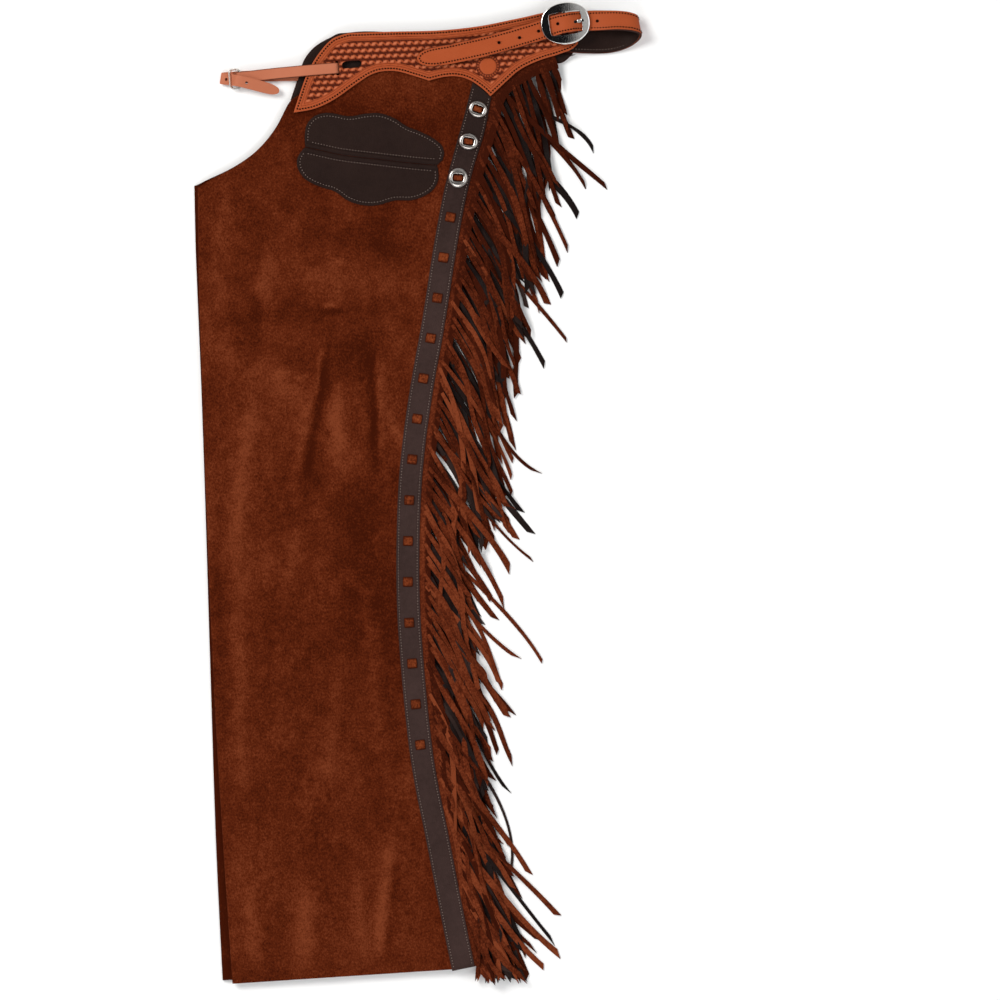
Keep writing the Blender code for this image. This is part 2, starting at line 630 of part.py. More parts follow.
POCKET_MOUTH = [(-3.2, 352.5), (-40.7, 356.7), (-83.5, 362.0), (-101.5, 365.8)]
MOUTH_GAP = 0.4
POCKET_STEP, POCKET_SPACING = 8.0, 14.0


def make_pocket(material):
    """Two pieces that meet at the pocket's mouth, each sewn down on the panel."""
    for name, points, side in (("pocket_upper", POCKET_UPPER, 1), ("pocket_lower", POCKET_LOWER, -1)):
        shift = np.array([0.0, side * MOUTH_GAP / 2])
        ends = [points[0] + shift, points[-1] + shift]
        loop = [ends[0], *points[1:-1], ends[1], *(POCKET_MOUTH + shift)]
        outline = leather_outline(loop, (0, len(points) - 1), POCKET_STEP)
        plate(name, outline, SMOOTH, lambda x, y: left_front_top(x, y) + GAP, material,
              spacing=POCKET_SPACING)


# ---- belt, buckle and front straps ------------------------------------------------------------------
# x, y and z of the belt leather's middle, its heading and the lean of its face, in degrees.
BELT_PATH = [
    {"x": 151.5, "y": 483.2, "z": 4.6, "heading": -6, "lean": 0, "width": 21.6},
    {"x": 171.5, "y": 481.4, "z": 4.6, "heading": -2, "lean": 0, "width": 21.6},
    {"x": 178.0, "y": 481.2, "z": 3.4, "heading": 0, "lean": 0, "width": 21.6},
    {"x": 188.0, "y": 481.3, "z": 1.8, "heading": 0, "lean": 0, "width": 22.2},
    {"x": 197.0, "y": 481.7, "z": 1.4, "heading": 3, "lean": 0, "width": 22.8},
    {"x": 206.0, "y": 482.5, "z": 1.4, "heading": 7, "lean": 0, "width": 22.8},
    {"x": 215.0, "y": 484.4, "z": 1.9, "heading": 10, "lean": -1, "width": 22.4},
    {"x": 224.0, "y": 487.4, "z": 3.6, "heading": 13, "lean": -5, "width": 21.6},
    {"x": 231.2, "y": 491.9, "z": 6.8, "heading": 14, "lean": -11, "width": 21.6},
    {"x": 235.7, "y": 496.4, "z": 10.8, "heading": 13, "lean": -17, "width": 21.6},
    {"x": 236.6, "y": 499.6, "z": 14.8, "heading": 10, "lean": -21, "width": 21.6},
    {"x": 233.9, "y": 501.2, "z": 18.0, "heading": 7, "lean": -24, "width": 21.8},
    {"x": 228.1, "y": 502.9, "z": 19.7, "heading": 4, "lean": -25, "width": 22.2},
    {"x": 220.2, "y": 504.0, "z": 19.7, "heading": 1, "lean": -25, "width": 22.6},
    {"x": 210.5, "y": 504.5, "z": 18.9, "heading": -1, "lean": -23, "width": 22.6},
    {"x": 202.0, "y": 504.3, "z": 17.9, "heading": -1, "lean": -18, "width": 22.4},
    {"x": 193.5, "y": 504.3, "z": 16.9, "heading": 2, "lean": -10, "width": 22.0},
    {"x": 185.3, "y": 504.3, "z": 16.1, "heading": 6, "lean": -2, "width": 21.6},
    {"x": 176.8, "y": 503.8, "z": 15.9, "heading": 9, "lean": 0, "width": 21.6},
    {"x": 172.2, "y": 503.6, "z": 17.9, "heading": 11, "lean": 0, "width": 21.6},
    {"x": 164.2, "y": 502.7, "z": 23.5, "heading": 13, "lean": 0, "width": 21.6},
    {"x": 157.6, "y": 501.3, "z": 24.1, "heading": 13, "lean": 0, "width": 21.6},
    {"x": 152.2, "y": 500.4, "z": 22.8, "heading": 13, "lean": 0, "width": 21.6},
    {"x": 147.6, "y": 499.4, "z": 20.3, "heading": 13, "lean": 0, "width": 21.6},
    {"x": 141.8, "y": 497.6, "z": 16.5, "heading": 14, "lean": 0, "width": 21.6},
    {"x": 133.0, "y": 494.4, "z": 16.2, "heading": 15, "lean": 0, "width": 21.6},
    {"x": 119.8, "y": 490.2, "z": 16.2, "heading": 16, "lean": 0, "width": 21.6},
    {"x": 98.4, "y": 483.8, "z": 16.2, "heading": 15, "lean": 0, "width": 21.6},
    {"x": 77.0, "y": 478.1, "z": 16.2, "heading": 13, "lean": 0, "width": 21.6},
    {"x": 55.6, "y": 473.2, "z": 16.2, "heading": 12, "lean": 0, "width": 21.4},
    {"x": 34.2, "y": 468.5, "z": 16.2, "heading": 11, "lean": 0, "width": 21.0},
    {"x": 18.0, "y": 465.8, "z": 16.2, "heading": 9, "lean": 0, "width": 20.8},
    {"x": 11.0, "y": 464.9, "z": 16.2, "heading": 7, "lean": 0, "width": 19.0},
    {"x": 6.0, "y": 464.2, "z": 16.2, "heading": 7, "lean": 0, "width": 16.0},
    {"x": 2.0, "y": 463.6, "z": 16.2, "heading": 7, "lean": 0, "width": 11.5},
    {"x": -1.0, "y": 463.2, "z": 16.2, "heading": 7, "lean": 0, "width": 4.5},
]
PRONG_HOLE_ROW = 19       # the belt's hole for the prong lies between this row of its path and the next
PRONG_HOLE_WIDTH = 5.6
BELT_WIDTH = 21.6
LINING_OFFSET = BELT / 2 + 2 * GAP + BELT_LINING / 2

BUCKLE = {"x": 157.5, "y": 501.2, "half_x": 26.9, "half_y": 22.6, "turn": 8.5}
BUCKLE_WINDOW = {"half_x": 17.3, "half_y": 12.1, "squareness": 10}
BUCKLE_Z, BUCKLE_HIGH = 18.9, 3.4
# Section of the frame's plate: share of the way from its outer to its inner edge, and depth below its top.
BUCKLE_SECTION = [
    {"in": 0.0, "down": 3.4}, {"in": 0.0, "down": 1.9}, {"in": 0.12, "down": 0.7}, {"in": 0.45, "down": 0.0},
    {"in": 0.88, "down": 0.3}, {"in": 1.0, "down": 0.9}, {"in": 1.0, "down": 3.4},
]
BAR_RADIUS, BAR_Z = 1.25, 16.9
# The bar's ends sit in the frame and drop to its middle: distance short of the end, and height.
BAR_END = 2.4
BAR_DROP = [
    {"short": 0.0, "z": BUCKLE_Z + 1.6}, {"short": 0.6, "z": BUCKLE_Z - 0.6},
    {"short": 3.0, "z": BAR_Z + 0.4}, {"short": 4.2, "z": BAR_Z},
]
CHAPE_THICK, CHAPE_WIDTH, CHAPE_SLOT, CHAPE_REACH = 1.3, 18.0, 7.0, 8.6
# The prong past the bar: distance from the bar, and height above its bend or above the frame's top.
PRONG_THICK, PRONG_WIDTH = 1.6, 3.6
PRONG_ROWS = [
    {"along": 6.0, "above": "bend", "rise": 0.0, "width": 3.6},
    {"along": 10.5, "above": "bend", "rise": 0.3, "width": 3.6},
    {"along": 14.0, "above": "frame", "rise": -1.5, "width": 3.6},
    {"along": 17.0, "above": "frame", "rise": 0.9, "width": 3.4},
    {"along": 20.0, "above": "frame", "rise": 1.25, "width": 2.4},
]
BAR_ROUND = 1.42          # half the bar's diagonal, as a share of its half width


def belt_rows():
    return [[row[key] for key in ("x", "y", "z", "heading", "lean")] for row in BELT_PATH]


def make_belt(leather, lining):
    """The belt leaves the right yoke, folds over beside the buckle and runs back through it."""
    widths = [row["width"] for row in BELT_PATH]
    hole = PRONG_HOLE_WIDTH / BELT_WIDTH
    across = (-1.0, -hole, hole, 1.0)

    def cells(row, column):
        return not (row == PRONG_HOLE_ROW and column == 1)

    ribbon("belt", belt_rows(), widths, BELT, leather, across=across, cells=cells)
    ribbon("belt_lining", belt_rows(), [w * 0.96 for w in widths], BELT_LINING, lining,
           offset=LINING_OFFSET, across=across, cells=cells)


def buckle_place(u, v, height):
    turn = math.radians(BUCKLE["turn"])
    return (BUCKLE["x"] + u * math.cos(turn) - v * math.sin(turn),
            BUCKLE["y"] + u * math.sin(turn) + v * math.cos(turn), height)


def turned_path(rows, heading):
    """A path given in the buckle's own plane, as rows for a ribbon."""
    return [(*buckle_place(u, v, z), heading, 0.0) for u, v, z in rows]


def bar_wrap(radius, first, last, steps):
    """Points round the buckle's bar, by angle in the upright plane across it."""
    return [(radius * math.cos(math.radians(a)), 0.0, BAR_Z + radius * math.sin(math.radians(a)))
            for a in np.linspace(first, last, steps)]


def make_buckle(metal, leather):
    """An oval frame with a sunk centre bar, a prong hooked on the bar, and the chape that holds the bar."""
    outer = rounded(BUCKLE["half_x"], BUCKLE["half_y"], 2.15, 32)
    inner = rounded(BUCKLE_WINDOW["half_x"], BUCKLE_WINDOW["half_y"], BUCKLE_WINDOW["squareness"], 32)
    top = BUCKLE_Z + BUCKLE_HIGH
    levels = [(row["in"], top - row["down"]) for row in BUCKLE_SECTION]
    frame = ring_solid("belt_buckle", outer, inner, levels, buckle_place, metal)
    end = BUCKLE_WINDOW["half_y"] + BAR_END
    bar_rows = [(0, row["short"] - end, row["z"]) for row in BAR_DROP]
    bar_rows += [(0, end - row["short"], row["z"]) for row in BAR_DROP[::-1]]
    bar = ribbon("belt_buckle_bar", turned_path(bar_rows, BUCKLE["turn"] - 90), 2 * BAR_RADIUS,
                 2 * BAR_RADIUS, metal)
    bar.hide_render = True
    bar.display_type = "WIRE"
    joined = frame.modifiers.new("bar", "BOOLEAN")
    joined.operation = "UNION"
    joined.object = bar

    hook = PRONG_THICK / 2 + BAR_RADIUS * BAR_ROUND + GAP
    prong, level = bar_wrap(hook, 235, 90, 7), {"bend": BAR_Z + hook, "frame": top}
    widths = [PRONG_WIDTH] * len(prong) + [row["width"] for row in PRONG_ROWS]
    prong += [(row["along"], 0.0, level[row["above"]] + row["rise"]) for row in PRONG_ROWS]
    ribbon("belt_prong", turned_path(prong, BUCKLE["turn"]), widths, PRONG_THICK, metal)

    wrap = CHAPE_THICK / 2 + BAR_RADIUS * BAR_ROUND + GAP
    low = Z_ON_LEFT_YOKE + CHAPE_THICK / 2
    high = low + CHAPE_THICK + GAP
    chape = [(-CHAPE_REACH, 0, low), (-6.0, 0, low), (-2.0, 0, max(low, BAR_Z - wrap))]
    chape += bar_wrap(wrap, -75, 90, 8)
    chape += [(-2.6, 0, BAR_Z + wrap - 0.3), (-5.6, 0, high + 0.9), (-CHAPE_REACH, 0, high)]
    share = CHAPE_SLOT / CHAPE_WIDTH

    def cells(row, column):
        return not (column == 1 and 1 <= row <= len(chape) - 3)

    ribbon("belt_chape", turned_path(chape, BUCKLE["turn"]), CHAPE_WIDTH, CHAPE_THICK, leather,
           across=(-1.0, -share, share, 1.0), cells=cells)


STRAP_WIDTH = 12.0
FRONT_BUCKLE = {"x": -195.5, "y": 442.8, "half_x": 6.6, "half_y": 11.2, "turn": 5.0}
FRONT_BUCKLE_WIRE = 2.2
FRONT_BUCKLE_Z = {"rim": 7.8, "bar": 6.0}
STRAP_LOOP_RADIUS = 2.75
# Rows of x, y, z, heading.  The left strap rises through its slit, lies over the yoke and ends in a loop
# round the buckle's bar; the right strap passes below it, turns over and comes back through the buckle.
LEFT_STRAP_PATH = [
    (-82.0, 454.4, 8.9, 5), (-84.4, 454.2, 8.9, 5), (-85.8, 454.0, 10.2, 5), (-86.1, 453.9, 12.6, 5),
    (-87.2, 453.8, 14.1, 5), (-90.0, 453.6, 14.4, 5), (-114.0, 451.7, 14.4, 5), (-124.0, 450.8, 14.0, 5),
    (-138.0, 449.6, 11.6, 5), (-152.0, 448.5, 9.2, 4), (-166.0, 447.0, 8.2, 4), (-178.0, 445.5, 8.5, 5),
]
LEFT_STRAP_RETURN = (-176.0, 445.4, 3.8, 5)
LEFT_STRAP_LOOP_SHIFT = 1.1        # the loop's middle lies this much below the return's
RIGHT_STRAP_PATH = [
    (-100.0, 447.0, 4.2, 2), (-126.0, 447.0, 4.2, 1), (-140.0, 446.9, 3.4, 0), (-154.0, 446.8, 1.5, 0),
    (-168.0, 446.6, 0.95, 0), (-186.0, 445.8, 0.95, 4), (-200.0, 444.9, 1.0, 0), (-206.0, 444.4, 1.2, -4),
    (-209.2, 444.0, 2.0, -6), (-210.4, 443.7, 3.3, -9), (-209.2, 443.3, 4.6, -11), (-205.5, 442.7, 5.2, -12),
    (-200.2, 442.2, 5.0, -12), (-197.3, 441.6, 6.2, -12), (-194.8, 441.1, 9.8, -12), (-191.6, 440.4, 11.4, -12),
    (-182.0, 438.3, 11.3, -13), (-173.0, 436.0, 10.8, -14), (-163.0, 433.3, 9.2, -15),
    (-156.0, 431.4, 8.0, -15), (-151.0, 430.1, 7.3, -15), (-148.3, 429.4, 7.0, -15),
]
RIGHT_STRAP_TIP = (11.0, 8.0, 4.0)


def front_buckle_bar():
    """Centre of the small buckle's bar."""
    reach = FRONT_BUCKLE["half_x"] - FRONT_BUCKLE_WIRE / 2
    turn = math.radians(FRONT_BUCKLE["turn"])
    return FRONT_BUCKLE["x"] + reach * math.cos(turn), FRONT_BUCKLE_Z["bar"]


def make_front_straps(leather, metal):
    bar_x, bar_z = front_buckle_bar()
    loop = []
    for angle in range(90, 271, 30):
        x = bar_x + STRAP_LOOP_RADIUS * math.cos(math.radians(angle))
        z = bar_z + STRAP_LOOP_RADIUS * math.sin(math.radians(angle))
        loop.append((x, LEFT_STRAP_RETURN[1] - LEFT_STRAP_LOOP_SHIFT, z, FRONT_BUCKLE["turn"]))
    left = [(*row, 0.0) for row in LEFT_STRAP_PATH + loop + [LEFT_STRAP_RETURN]]
    ribbon("front_strap_left", left, STRAP_WIDTH, STRAP, leather)
    right = [(*row, 0.0) for row in RIGHT_STRAP_PATH]
    widths = [STRAP_WIDTH] * (len(right) - len(RIGHT_STRAP_TIP)) + list(RIGHT_STRAP_TIP)
    ribbon("front_strap_right", right, widths, STRAP, leather)
    turn = math.radians(FRONT_BUCKLE["turn"])
    half_wire = FRONT_BUCKLE_WIRE / 2

    def place(u, v, height):
        middle = (FRONT_BUCKLE_Z["bar"] + FRONT_BUCKLE_Z["rim"]) / 2
        tilt = middle - (FRONT_BUCKLE_Z["rim"] - middle) * u / (FRONT_BUCKLE["half_x"] - half_wire)
        return (FRONT_BUCKLE["x"] + u * math.cos(turn) - v * math.sin(turn),
                FRONT_BUCKLE["y"] + u * math.sin(turn) + v * math.cos(turn), tilt + height)

    half_x, half_y = FRONT_BUCKLE["half_x"], FRONT_BUCKLE["half_y"]
    outer = rounded(half_x, half_y, 7, 20)
    inner = rounded(half_x - FRONT_BUCKLE_WIRE, half_y - FRONT_BUCKLE_WIRE, 7, 20)
    levels = [(0.5, -half_wire), (0, 0), (0.5, half_wire), (1, 0)]
    ring_solid("front_buckle", outer, inner, levels, place, metal)


# ---- fringe ------------------------------------------------------------------------------------------
# How the strands leave the leg, by height along the seam: lean below the level at the root and at the
# tip, and length.
FRINGE_LEAN = [
    {"y": -510, "root": 50, "tip": 62, "long": 30},
    {"y": -480, "root": 48, "tip": 64, "long": 52},
    {"y": -440, "root": 46, "tip": 62, "long": 92},
    {"y": -390, "root": 46, "tip": 60, "long": 122},
    {"y": -300, "root": 44, "tip": 64, "long": 132},
    {"y": -150, "root": 44, "tip": 70, "long": 138},
    {"y": 0, "root": 42, "tip": 69, "long": 136},
    {"y": 150, "root": 42, "tip": 70, "long": 140},
    {"y": 300, "root": 45, "tip": 73, "long": 142},
    {"y": 400, "root": 50, "tip": 74, "long": 140},
    {"y": 450, "root": 66, "tip": 76, "long": 128},
]
# How far out the fringe reaches but for its strays: height, and distance from the middle.
FRINGE_REACH = [
    (-521, 126), (-489, 128), (-435, 113), (-382, 94), (-328, 80), (-275, 88), (-221, 89),
    (-168, 81), (-141, 74), (-114, 71), (-87, 68), (-61, 75), (-34, 90), (-7, 96), (46, 96),
    (100, 100), (153, 106), (180, 124), (207, 136), (260, 141), (314, 144), (367, 154), (394, 159),
    (421, 158), (455, 148),
]
# Strands that lie well outside the rest: height of the root along the seam, tip, lean at the tip,
# width and which fringe they belong to.
STRAYS = [
    {"y": 448.6, "tip_x": 187.5, "tip_y": 367.8, "tip": 66, "wide": 5.0, "layer": "left_smooth"},
    {"y": 440.0, "tip_x": 200.6, "tip_y": 328.8, "tip": 40, "wide": 6.0, "layer": "left_suede"},
    {"y": 436.0, "tip_x": 178.2, "tip_y": 329.9, "tip": 60, "wide": 6.0, "layer": "right_suede"},
    {"y": 430.0, "tip_x": 171.0, "tip_y": 297.0, "tip": 65, "wide": 8.5, "layer": "right_smooth"},
    {"y": 405.0, "tip_x": 160.0, "tip_y": 261.4, "tip": 66, "wide": 5.5, "layer": "left_suede"},
    {"y": 385.0, "tip_x": 150.2, "tip_y": 246.4, "tip": 68, "wide": 7.0, "layer": "right_suede"},
    {"y": 345.0, "tip_x": 154.3, "tip_y": 211.6, "tip": 66, "wide": 7.0, "layer": "left_smooth"},
    {"y": 318.0, "tip_x": 138.6, "tip_y": 202.5, "tip": 68, "wide": 7.5, "layer": "left_suede"},
    {"y": 285.0, "tip_x": 158.8, "tip_y": 164.0, "tip": 52, "wide": 4.5, "layer": "right_suede"},
    {"y": 260.0, "tip_x": 135.2, "tip_y": 137.3, "tip": 62, "wide": 6.5, "layer": "right_smooth"},
    {"y": 215.0, "tip_x": 107.0, "tip_y": 107.3, "tip": 76, "wide": 6.5, "layer": "left_suede"},
    {"y": 165.0, "tip_x": 127.1, "tip_y": 22.8, "tip": 28, "wide": 4.0, "layer": "right_suede"},
    {"y": 145.0, "tip_x": 99.9, "tip_y": 17.4, "tip": 72, "wide": 5.0, "layer": "left_suede"},
    {"y": 100.0, "tip_x": 110.0, "tip_y": -19.5, "tip": 52, "wide": 7.0, "layer": "left_smooth"},
    {"y": 85.0, "tip_x": 121.1, "tip_y": -42.5, "tip": 50, "wide": 7.5, "layer": "right_smooth"},
    {"y": 65.0, "tip_x": 104.9, "tip_y": -48.5, "tip": 60, "wide": 7.5, "layer": "left_suede"},
    {"y": 48.0, "tip_x": 121.6, "tip_y": -70.7, "tip": 36, "wide": 3.5, "layer": "right_suede"},
    {"y": 30.0, "tip_x": 98.0, "tip_y": -81.0, "tip": 62, "wide": 8.0, "layer": "left_suede"},
    {"y": 8.0, "tip_x": 91.5, "tip_y": -117.4, "tip": 66, "wide": 6.5, "layer": "left_suede"},
    {"y": -45.0, "tip_x": 132.7, "tip_y": -180.0, "tip": 60, "wide": 4.5, "layer": "right_suede"},
    {"y": -75.0, "tip_x": 104.9, "tip_y": -175.0, "tip": 34, "wide": 4.5, "layer": "left_suede"},
    {"y": -95.0, "tip_x": 86.7, "tip_y": -203.0, "tip": 72, "wide": 6.0, "layer": "left_suede"},
    {"y": -120.0, "tip_x": 96.3, "tip_y": -235.1, "tip": 56, "wide": 6.0, "layer": "left_suede"},
    {"y": -185.0, "tip_x": 95.2, "tip_y": -317.5, "tip": 52, "wide": 4.0, "layer": "right_smooth"},
    {"y": -245.0, "tip_x": 99.5, "tip_y": -403.1, "tip": 100, "wide": 3.5, "layer": "left_smooth"},
    {"y": -275.0, "tip_x": 118.8, "tip_y": -406.3, "tip": 60, "wide": 6.0, "layer": "left_suede"},
    {"y": -330.0, "tip_x": 149.3, "tip_y": -451.2, "tip": 48, "wide": 6.5, "layer": "left_suede"},
    {"y": -345.0, "tip_x": 143.8, "tip_y": -478.5, "tip": 50, "wide": 4.5, "layer": "left_smooth"},
    {"y": -372.0, "tip_x": 150.7, "tip_y": -493.0, "tip": 38, "wide": 7.5, "layer": "left_suede"},
    {"y": -392.0, "tip_x": 134.3, "tip_y": -506.8, "tip": 40, "wide": 7.5, "layer": "left_suede"},
    {"y": -400.0, "tip_x": 117.3, "tip_y": -517.5, "tip": 66, "wide": 7.5, "layer": "right_suede"},
    {"y": -478.0, "tip_x": 74.0, "tip_y": -521.0, "tip": 84, "wide": 6.0, "layer": "right_suede"},
    {"y": -486.0, "tip_x": 79.0, "tip_y": -521.5, "tip": 76, "wide": 7.0, "layer": "right_smooth"},
]
FRINGES = [
    {"name": "right_fringe_suede", "layer": "right_suede", "height": right_front, "top_y": 477.5,
     "margin": MARGIN_SUEDE, "thick": SUEDE, "count": 50, "stations": 4, "seed": 3,
     "beside": ("right", "front")},
    {"name": "right_fringe_smooth", "layer": "right_smooth", "height": right_back, "top_y": 405.0,
     "margin": MARGIN_SMOOTH, "thick": SMOOTH_FRINGE, "count": 42, "stations": 4, "seed": 5,
     "beside": ("right", "back")},
    {"name": "left_fringe_smooth", "layer": "left_smooth", "height": left_back, "top_y": 477.5,
     "margin": MARGIN_SMOOTH, "thick": SMOOTH_FRINGE, "count": 46, "stations": 4, "seed": 7,
     "beside": ("left", "back")},
    {"name": "left_fringe_suede", "layer": "left_suede", "height": left_front, "top_y": 477.5,
     "margin": MARGIN_SUEDE, "thick": SUEDE, "count": 58, "stations": 5, "seed": 11,
     "beside": ("left", "front")},
]
STRAND_WIDTH = 7.9
LOWEST_TIP = -519.0       # no strand reaches past this, below the hem
SHORTEST_STEPS = 5        # of a route's 24 steps, where it is cut short
ROOT_HALF = 4.0           # half of the root's width along the cut edge
TIP_SLANT = 8.0           # how much longer one edge is than the other at the slanting tip
CLEAR_OF_BAND = 0.4       # no strand turns back closer than this to the uncut bands
FREE_FROM = 0.12          # share of a strand's first stretch that may lie beside the band
ROOT_ENDS = (6.0, 5.0)    # first and last root from the ends of the cut edge
# How much the strands differ from each other.
PLAY = {"root": 7.0, "tip": 7.0, "shorter": 0.82, "longer": 1.12, "bend": 9.0, "stray": 9.0, "shift": 4.0,
        "narrower": 0.78, "wider": 1.06}
ATTEMPTS, EASY_ATTEMPTS = 20, 3    # tries to lay a strand, and after how many its root may move
LAY_GAP = 0.3             # play between a strand and what it has fallen on
LOWEST_UNDERSIDE = 0.35
AT_ROOT = 2.0             # a strand is as high as its band this far
STATION_REACH = 6.0       # a station is as high as what lies this near along the strand
STEEPEST = 0.42           # steepest rise or fall along a strand
STEEPEST_START = 0.5      # the same for its rise from the root
CELL = 1.0                # grid of the ground on which the fallen strands are added up
GROUND_LOW, GROUND_HIGH = np.array([-40.0, -560.0]), np.array([260.0, 520.0])


class Pile:
    """Heights of what already lies on the ground, so that the next strand falls on it."""

    def __init__(self):
        self.heights = np.zeros(tuple(((GROUND_HIGH - GROUND_LOW) / CELL).astype(int)))

    def cell(self, points):
        spots = ((points - GROUND_LOW) / CELL).astype(int)
        return spots[..., 0], spots[..., 1]

    def under(self, points):
        """The highest level within a cell of the points."""
        x, y = self.cell(points)
        levels = [self.heights[x + dx, y + dy] for dx in (-1, 0, 1) for dy in (-1, 0, 1)]
        return np.max(levels, axis=0)

    def add(self, points, tops):
        x, y = self.cell(points)
        np.maximum.at(self.heights, (x, y), tops)


def band_height(row, points):
    """Underside of a fringe's uncut band: the height of the panel's edge beside it."""
    near = [int(np.argmin(np.linalg.norm(SEAM - point, axis=1))) for point in points]
    return np.array([row["height"](*(SEAM[k] - (0.5, 0.0))) for k in near])


def band_inner(row):
    """The band's inner edge, a gap beyond the panel's own edge, point by point along the seam curve."""
    ahead = np.gradient(SEAM, axis=0)
    ahead /= np.linalg.norm(ahead, axis=1)[:, None]
    panel = cut_edge(*row["beside"])
    x = np.interp(SEAM[:, 1], panel[:, 1], panel[:, 0])
    x = np.where(SEAM[:, 1] <= panel[-1, 1], np.maximum(x, SEAM[:, 0]), SEAM[:, 0])
    return np.stack([x + GAP / ahead[:, 1], SEAM[:, 1]], axis=1)


def turns_back(left, right):
    """Whether a strand, past its root, comes back over the uncut bands."""
    samples, along = strand_samples(left, right, parts=6, across=3)
    free = samples[along > FREE_FROM].reshape(-1, 2)
    reach = min(np.linalg.norm(SEAM - point, axis=1).min() for point in free)
    return reach < MARGIN_SUEDE + CLEAR_OF_BAND


def strand_route(start, root, tip, long, bend, side_step):
    """Points of a strand seen from above: it leaves at one lean, curves to the other, and strays a little."""
    points, here = [np.array(start, dtype=float)], np.array(start, dtype=float)
    steps = 24
    for k in range(steps):
        share = (k + 0.5) / steps
        lean = root + (tip - root) * soft_step(share, 0, 0.75) + bend * math.sin(share * 2 * math.pi)
        lean += side_step * math.sin(share * math.pi) ** 2
        here = here + np.array([math.cos(math.radians(lean)), -math.sin(math.radians(lean))]) * long / steps
        points.append(here)
    points = np.array(points)
    limit_y, limit_x = zip(*FRINGE_REACH)
    reach = np.interp(points[:, 1], limit_y, limit_x) + side_step
    free = (points[:, 1] > LOWEST_TIP) & (points[:, 0] < reach)
    last = len(points) - 1 if free.all() else max(int(np.argmin(free)), SHORTEST_STEPS)
    wanted = np.linspace(0, last, len(points))
    return np.stack([np.interp(wanted, np.arange(len(points)), points[:, axis]) for axis in (0, 1)], axis=1)


def stray_route(start, row):
    """Points of a stray strand: a curve from its root to its given tip."""
    goal = np.array([row["tip_x"], row["tip_y"]])
    span = np.linalg.norm(goal - start)
    leave = math.radians(50)
    arrive = math.radians(row["tip"])
    first = np.array(start) + np.array([math.cos(leave), -math.sin(leave)]) * span * 0.33
    second = goal - np.array([math.cos(arrive), -math.sin(arrive)]) * span * 0.33
    shares = np.linspace(0, 1, 25)[:, None]
    return ((1 - shares) ** 3 * start + 3 * (1 - shares) ** 2 * shares * first
            + 3 * (1 - shares) * shares ** 2 * second + shares ** 3 * goal)


def strand_corners(route, width, edge_ahead, stations):
    """Left and right edge points of each station of a strand seen from above."""
    picked = np.linspace(0, 1, stations) ** 0.85 * (len(route) - 1)
    index = np.arange(len(route))
    centre = np.stack([np.interp(picked, index, route[:, axis]) for axis in (0, 1)], axis=1)
    ahead = np.gradient(centre, axis=0)
    ahead /= np.linalg.norm(ahead, axis=1)[:, None]
    side = np.stack([-ahead[:, 1], ahead[:, 0]], axis=1)
    halves = np.full(stations, width / 2)
    halves[-1] *= 0.8
    left, right = centre + side * halves[:, None], centre - side * halves[:, None]
    left[0], right[0] = centre[0] + edge_ahead * ROOT_HALF, centre[0] - edge_ahead * ROOT_HALF
    left[-1] -= ahead[-1] * min(TIP_SLANT, np.linalg.norm(centre[-1] - centre[-2]) / 3)
    return left, right


def strand_samples(left, right, parts=14, across=7):
    """Points all over a strand, each with its share along it, counted in stations."""
    along = np.linspace(0, len(left) - 1, (len(left) - 1) * parts + 1)
    low = np.minimum(along.astype(int), len(left) - 2)
    share = (along - low)[:, None]
    one = left[low] * (1 - share) + left[low + 1] * share
    two = right[low] * (1 - share) + right[low + 1] * share
    spread = np.linspace(0, 1, across)[None, :, None]
    return one[:, None, :] * (1 - spread) + two[:, None, :] * spread, along


def settle(left, right, root_z, pile):
    """Heights of a strand's stations above what it falls on, or None where it can't clear it."""
    samples, along = strand_samples(left, right)
    need = pile.under(samples).max(axis=1) + LAY_GAP
    centre = (left + right) / 2
    run = running_length(centre)
    where = np.interp(along, np.arange(len(run)), run)
    if (need[where < AT_ROOT] > root_z + 0.01).any():
        return None
    near = [need[np.abs(where - at) < STATION_REACH].max(initial=LOWEST_UNDERSIDE) for at in run]
    heights = np.array(near)
    heights[0] = root_z
    for _ in range(300):
        short = need - np.interp(along, np.arange(len(run)), heights)
        worst = int(np.argmax(short))
        if short[worst] <= 1e-6:
            break
        low = min(int(along[worst]), len(run) - 2)
        share = along[worst] - low
        if low:
            spread = (1 - share) ** 2 + share ** 2
            heights[low] += short[worst] * (1 - share) / spread
            heights[low + 1] += short[worst] * share / spread
        else:
            heights[1] += short[worst] / max(share, 0.02)
    else:
        return None
    if heights[1] - root_z > STEEPEST_START * run[1]:
        return None
    for _ in range(2):
        for k in range(1, len(run)):
            heights[k] = max(heights[k], heights[k - 1] - STEEPEST * (run[k] - run[k - 1]))
        for k in range(len(run) - 2, 0, -1):
            heights[k] = max(heights[k], heights[k + 1] - STEEPEST * (run[k + 1] - run[k]))
    return heights


def lay_strand(left, right, heights, thick, pile):
    samples, along = strand_samples(left, right)
    level = np.interp(along, np.arange(len(left)), heights) + thick
    pile.add(samples, np.repeat(level[:, None], samples.shape[1], axis=1))


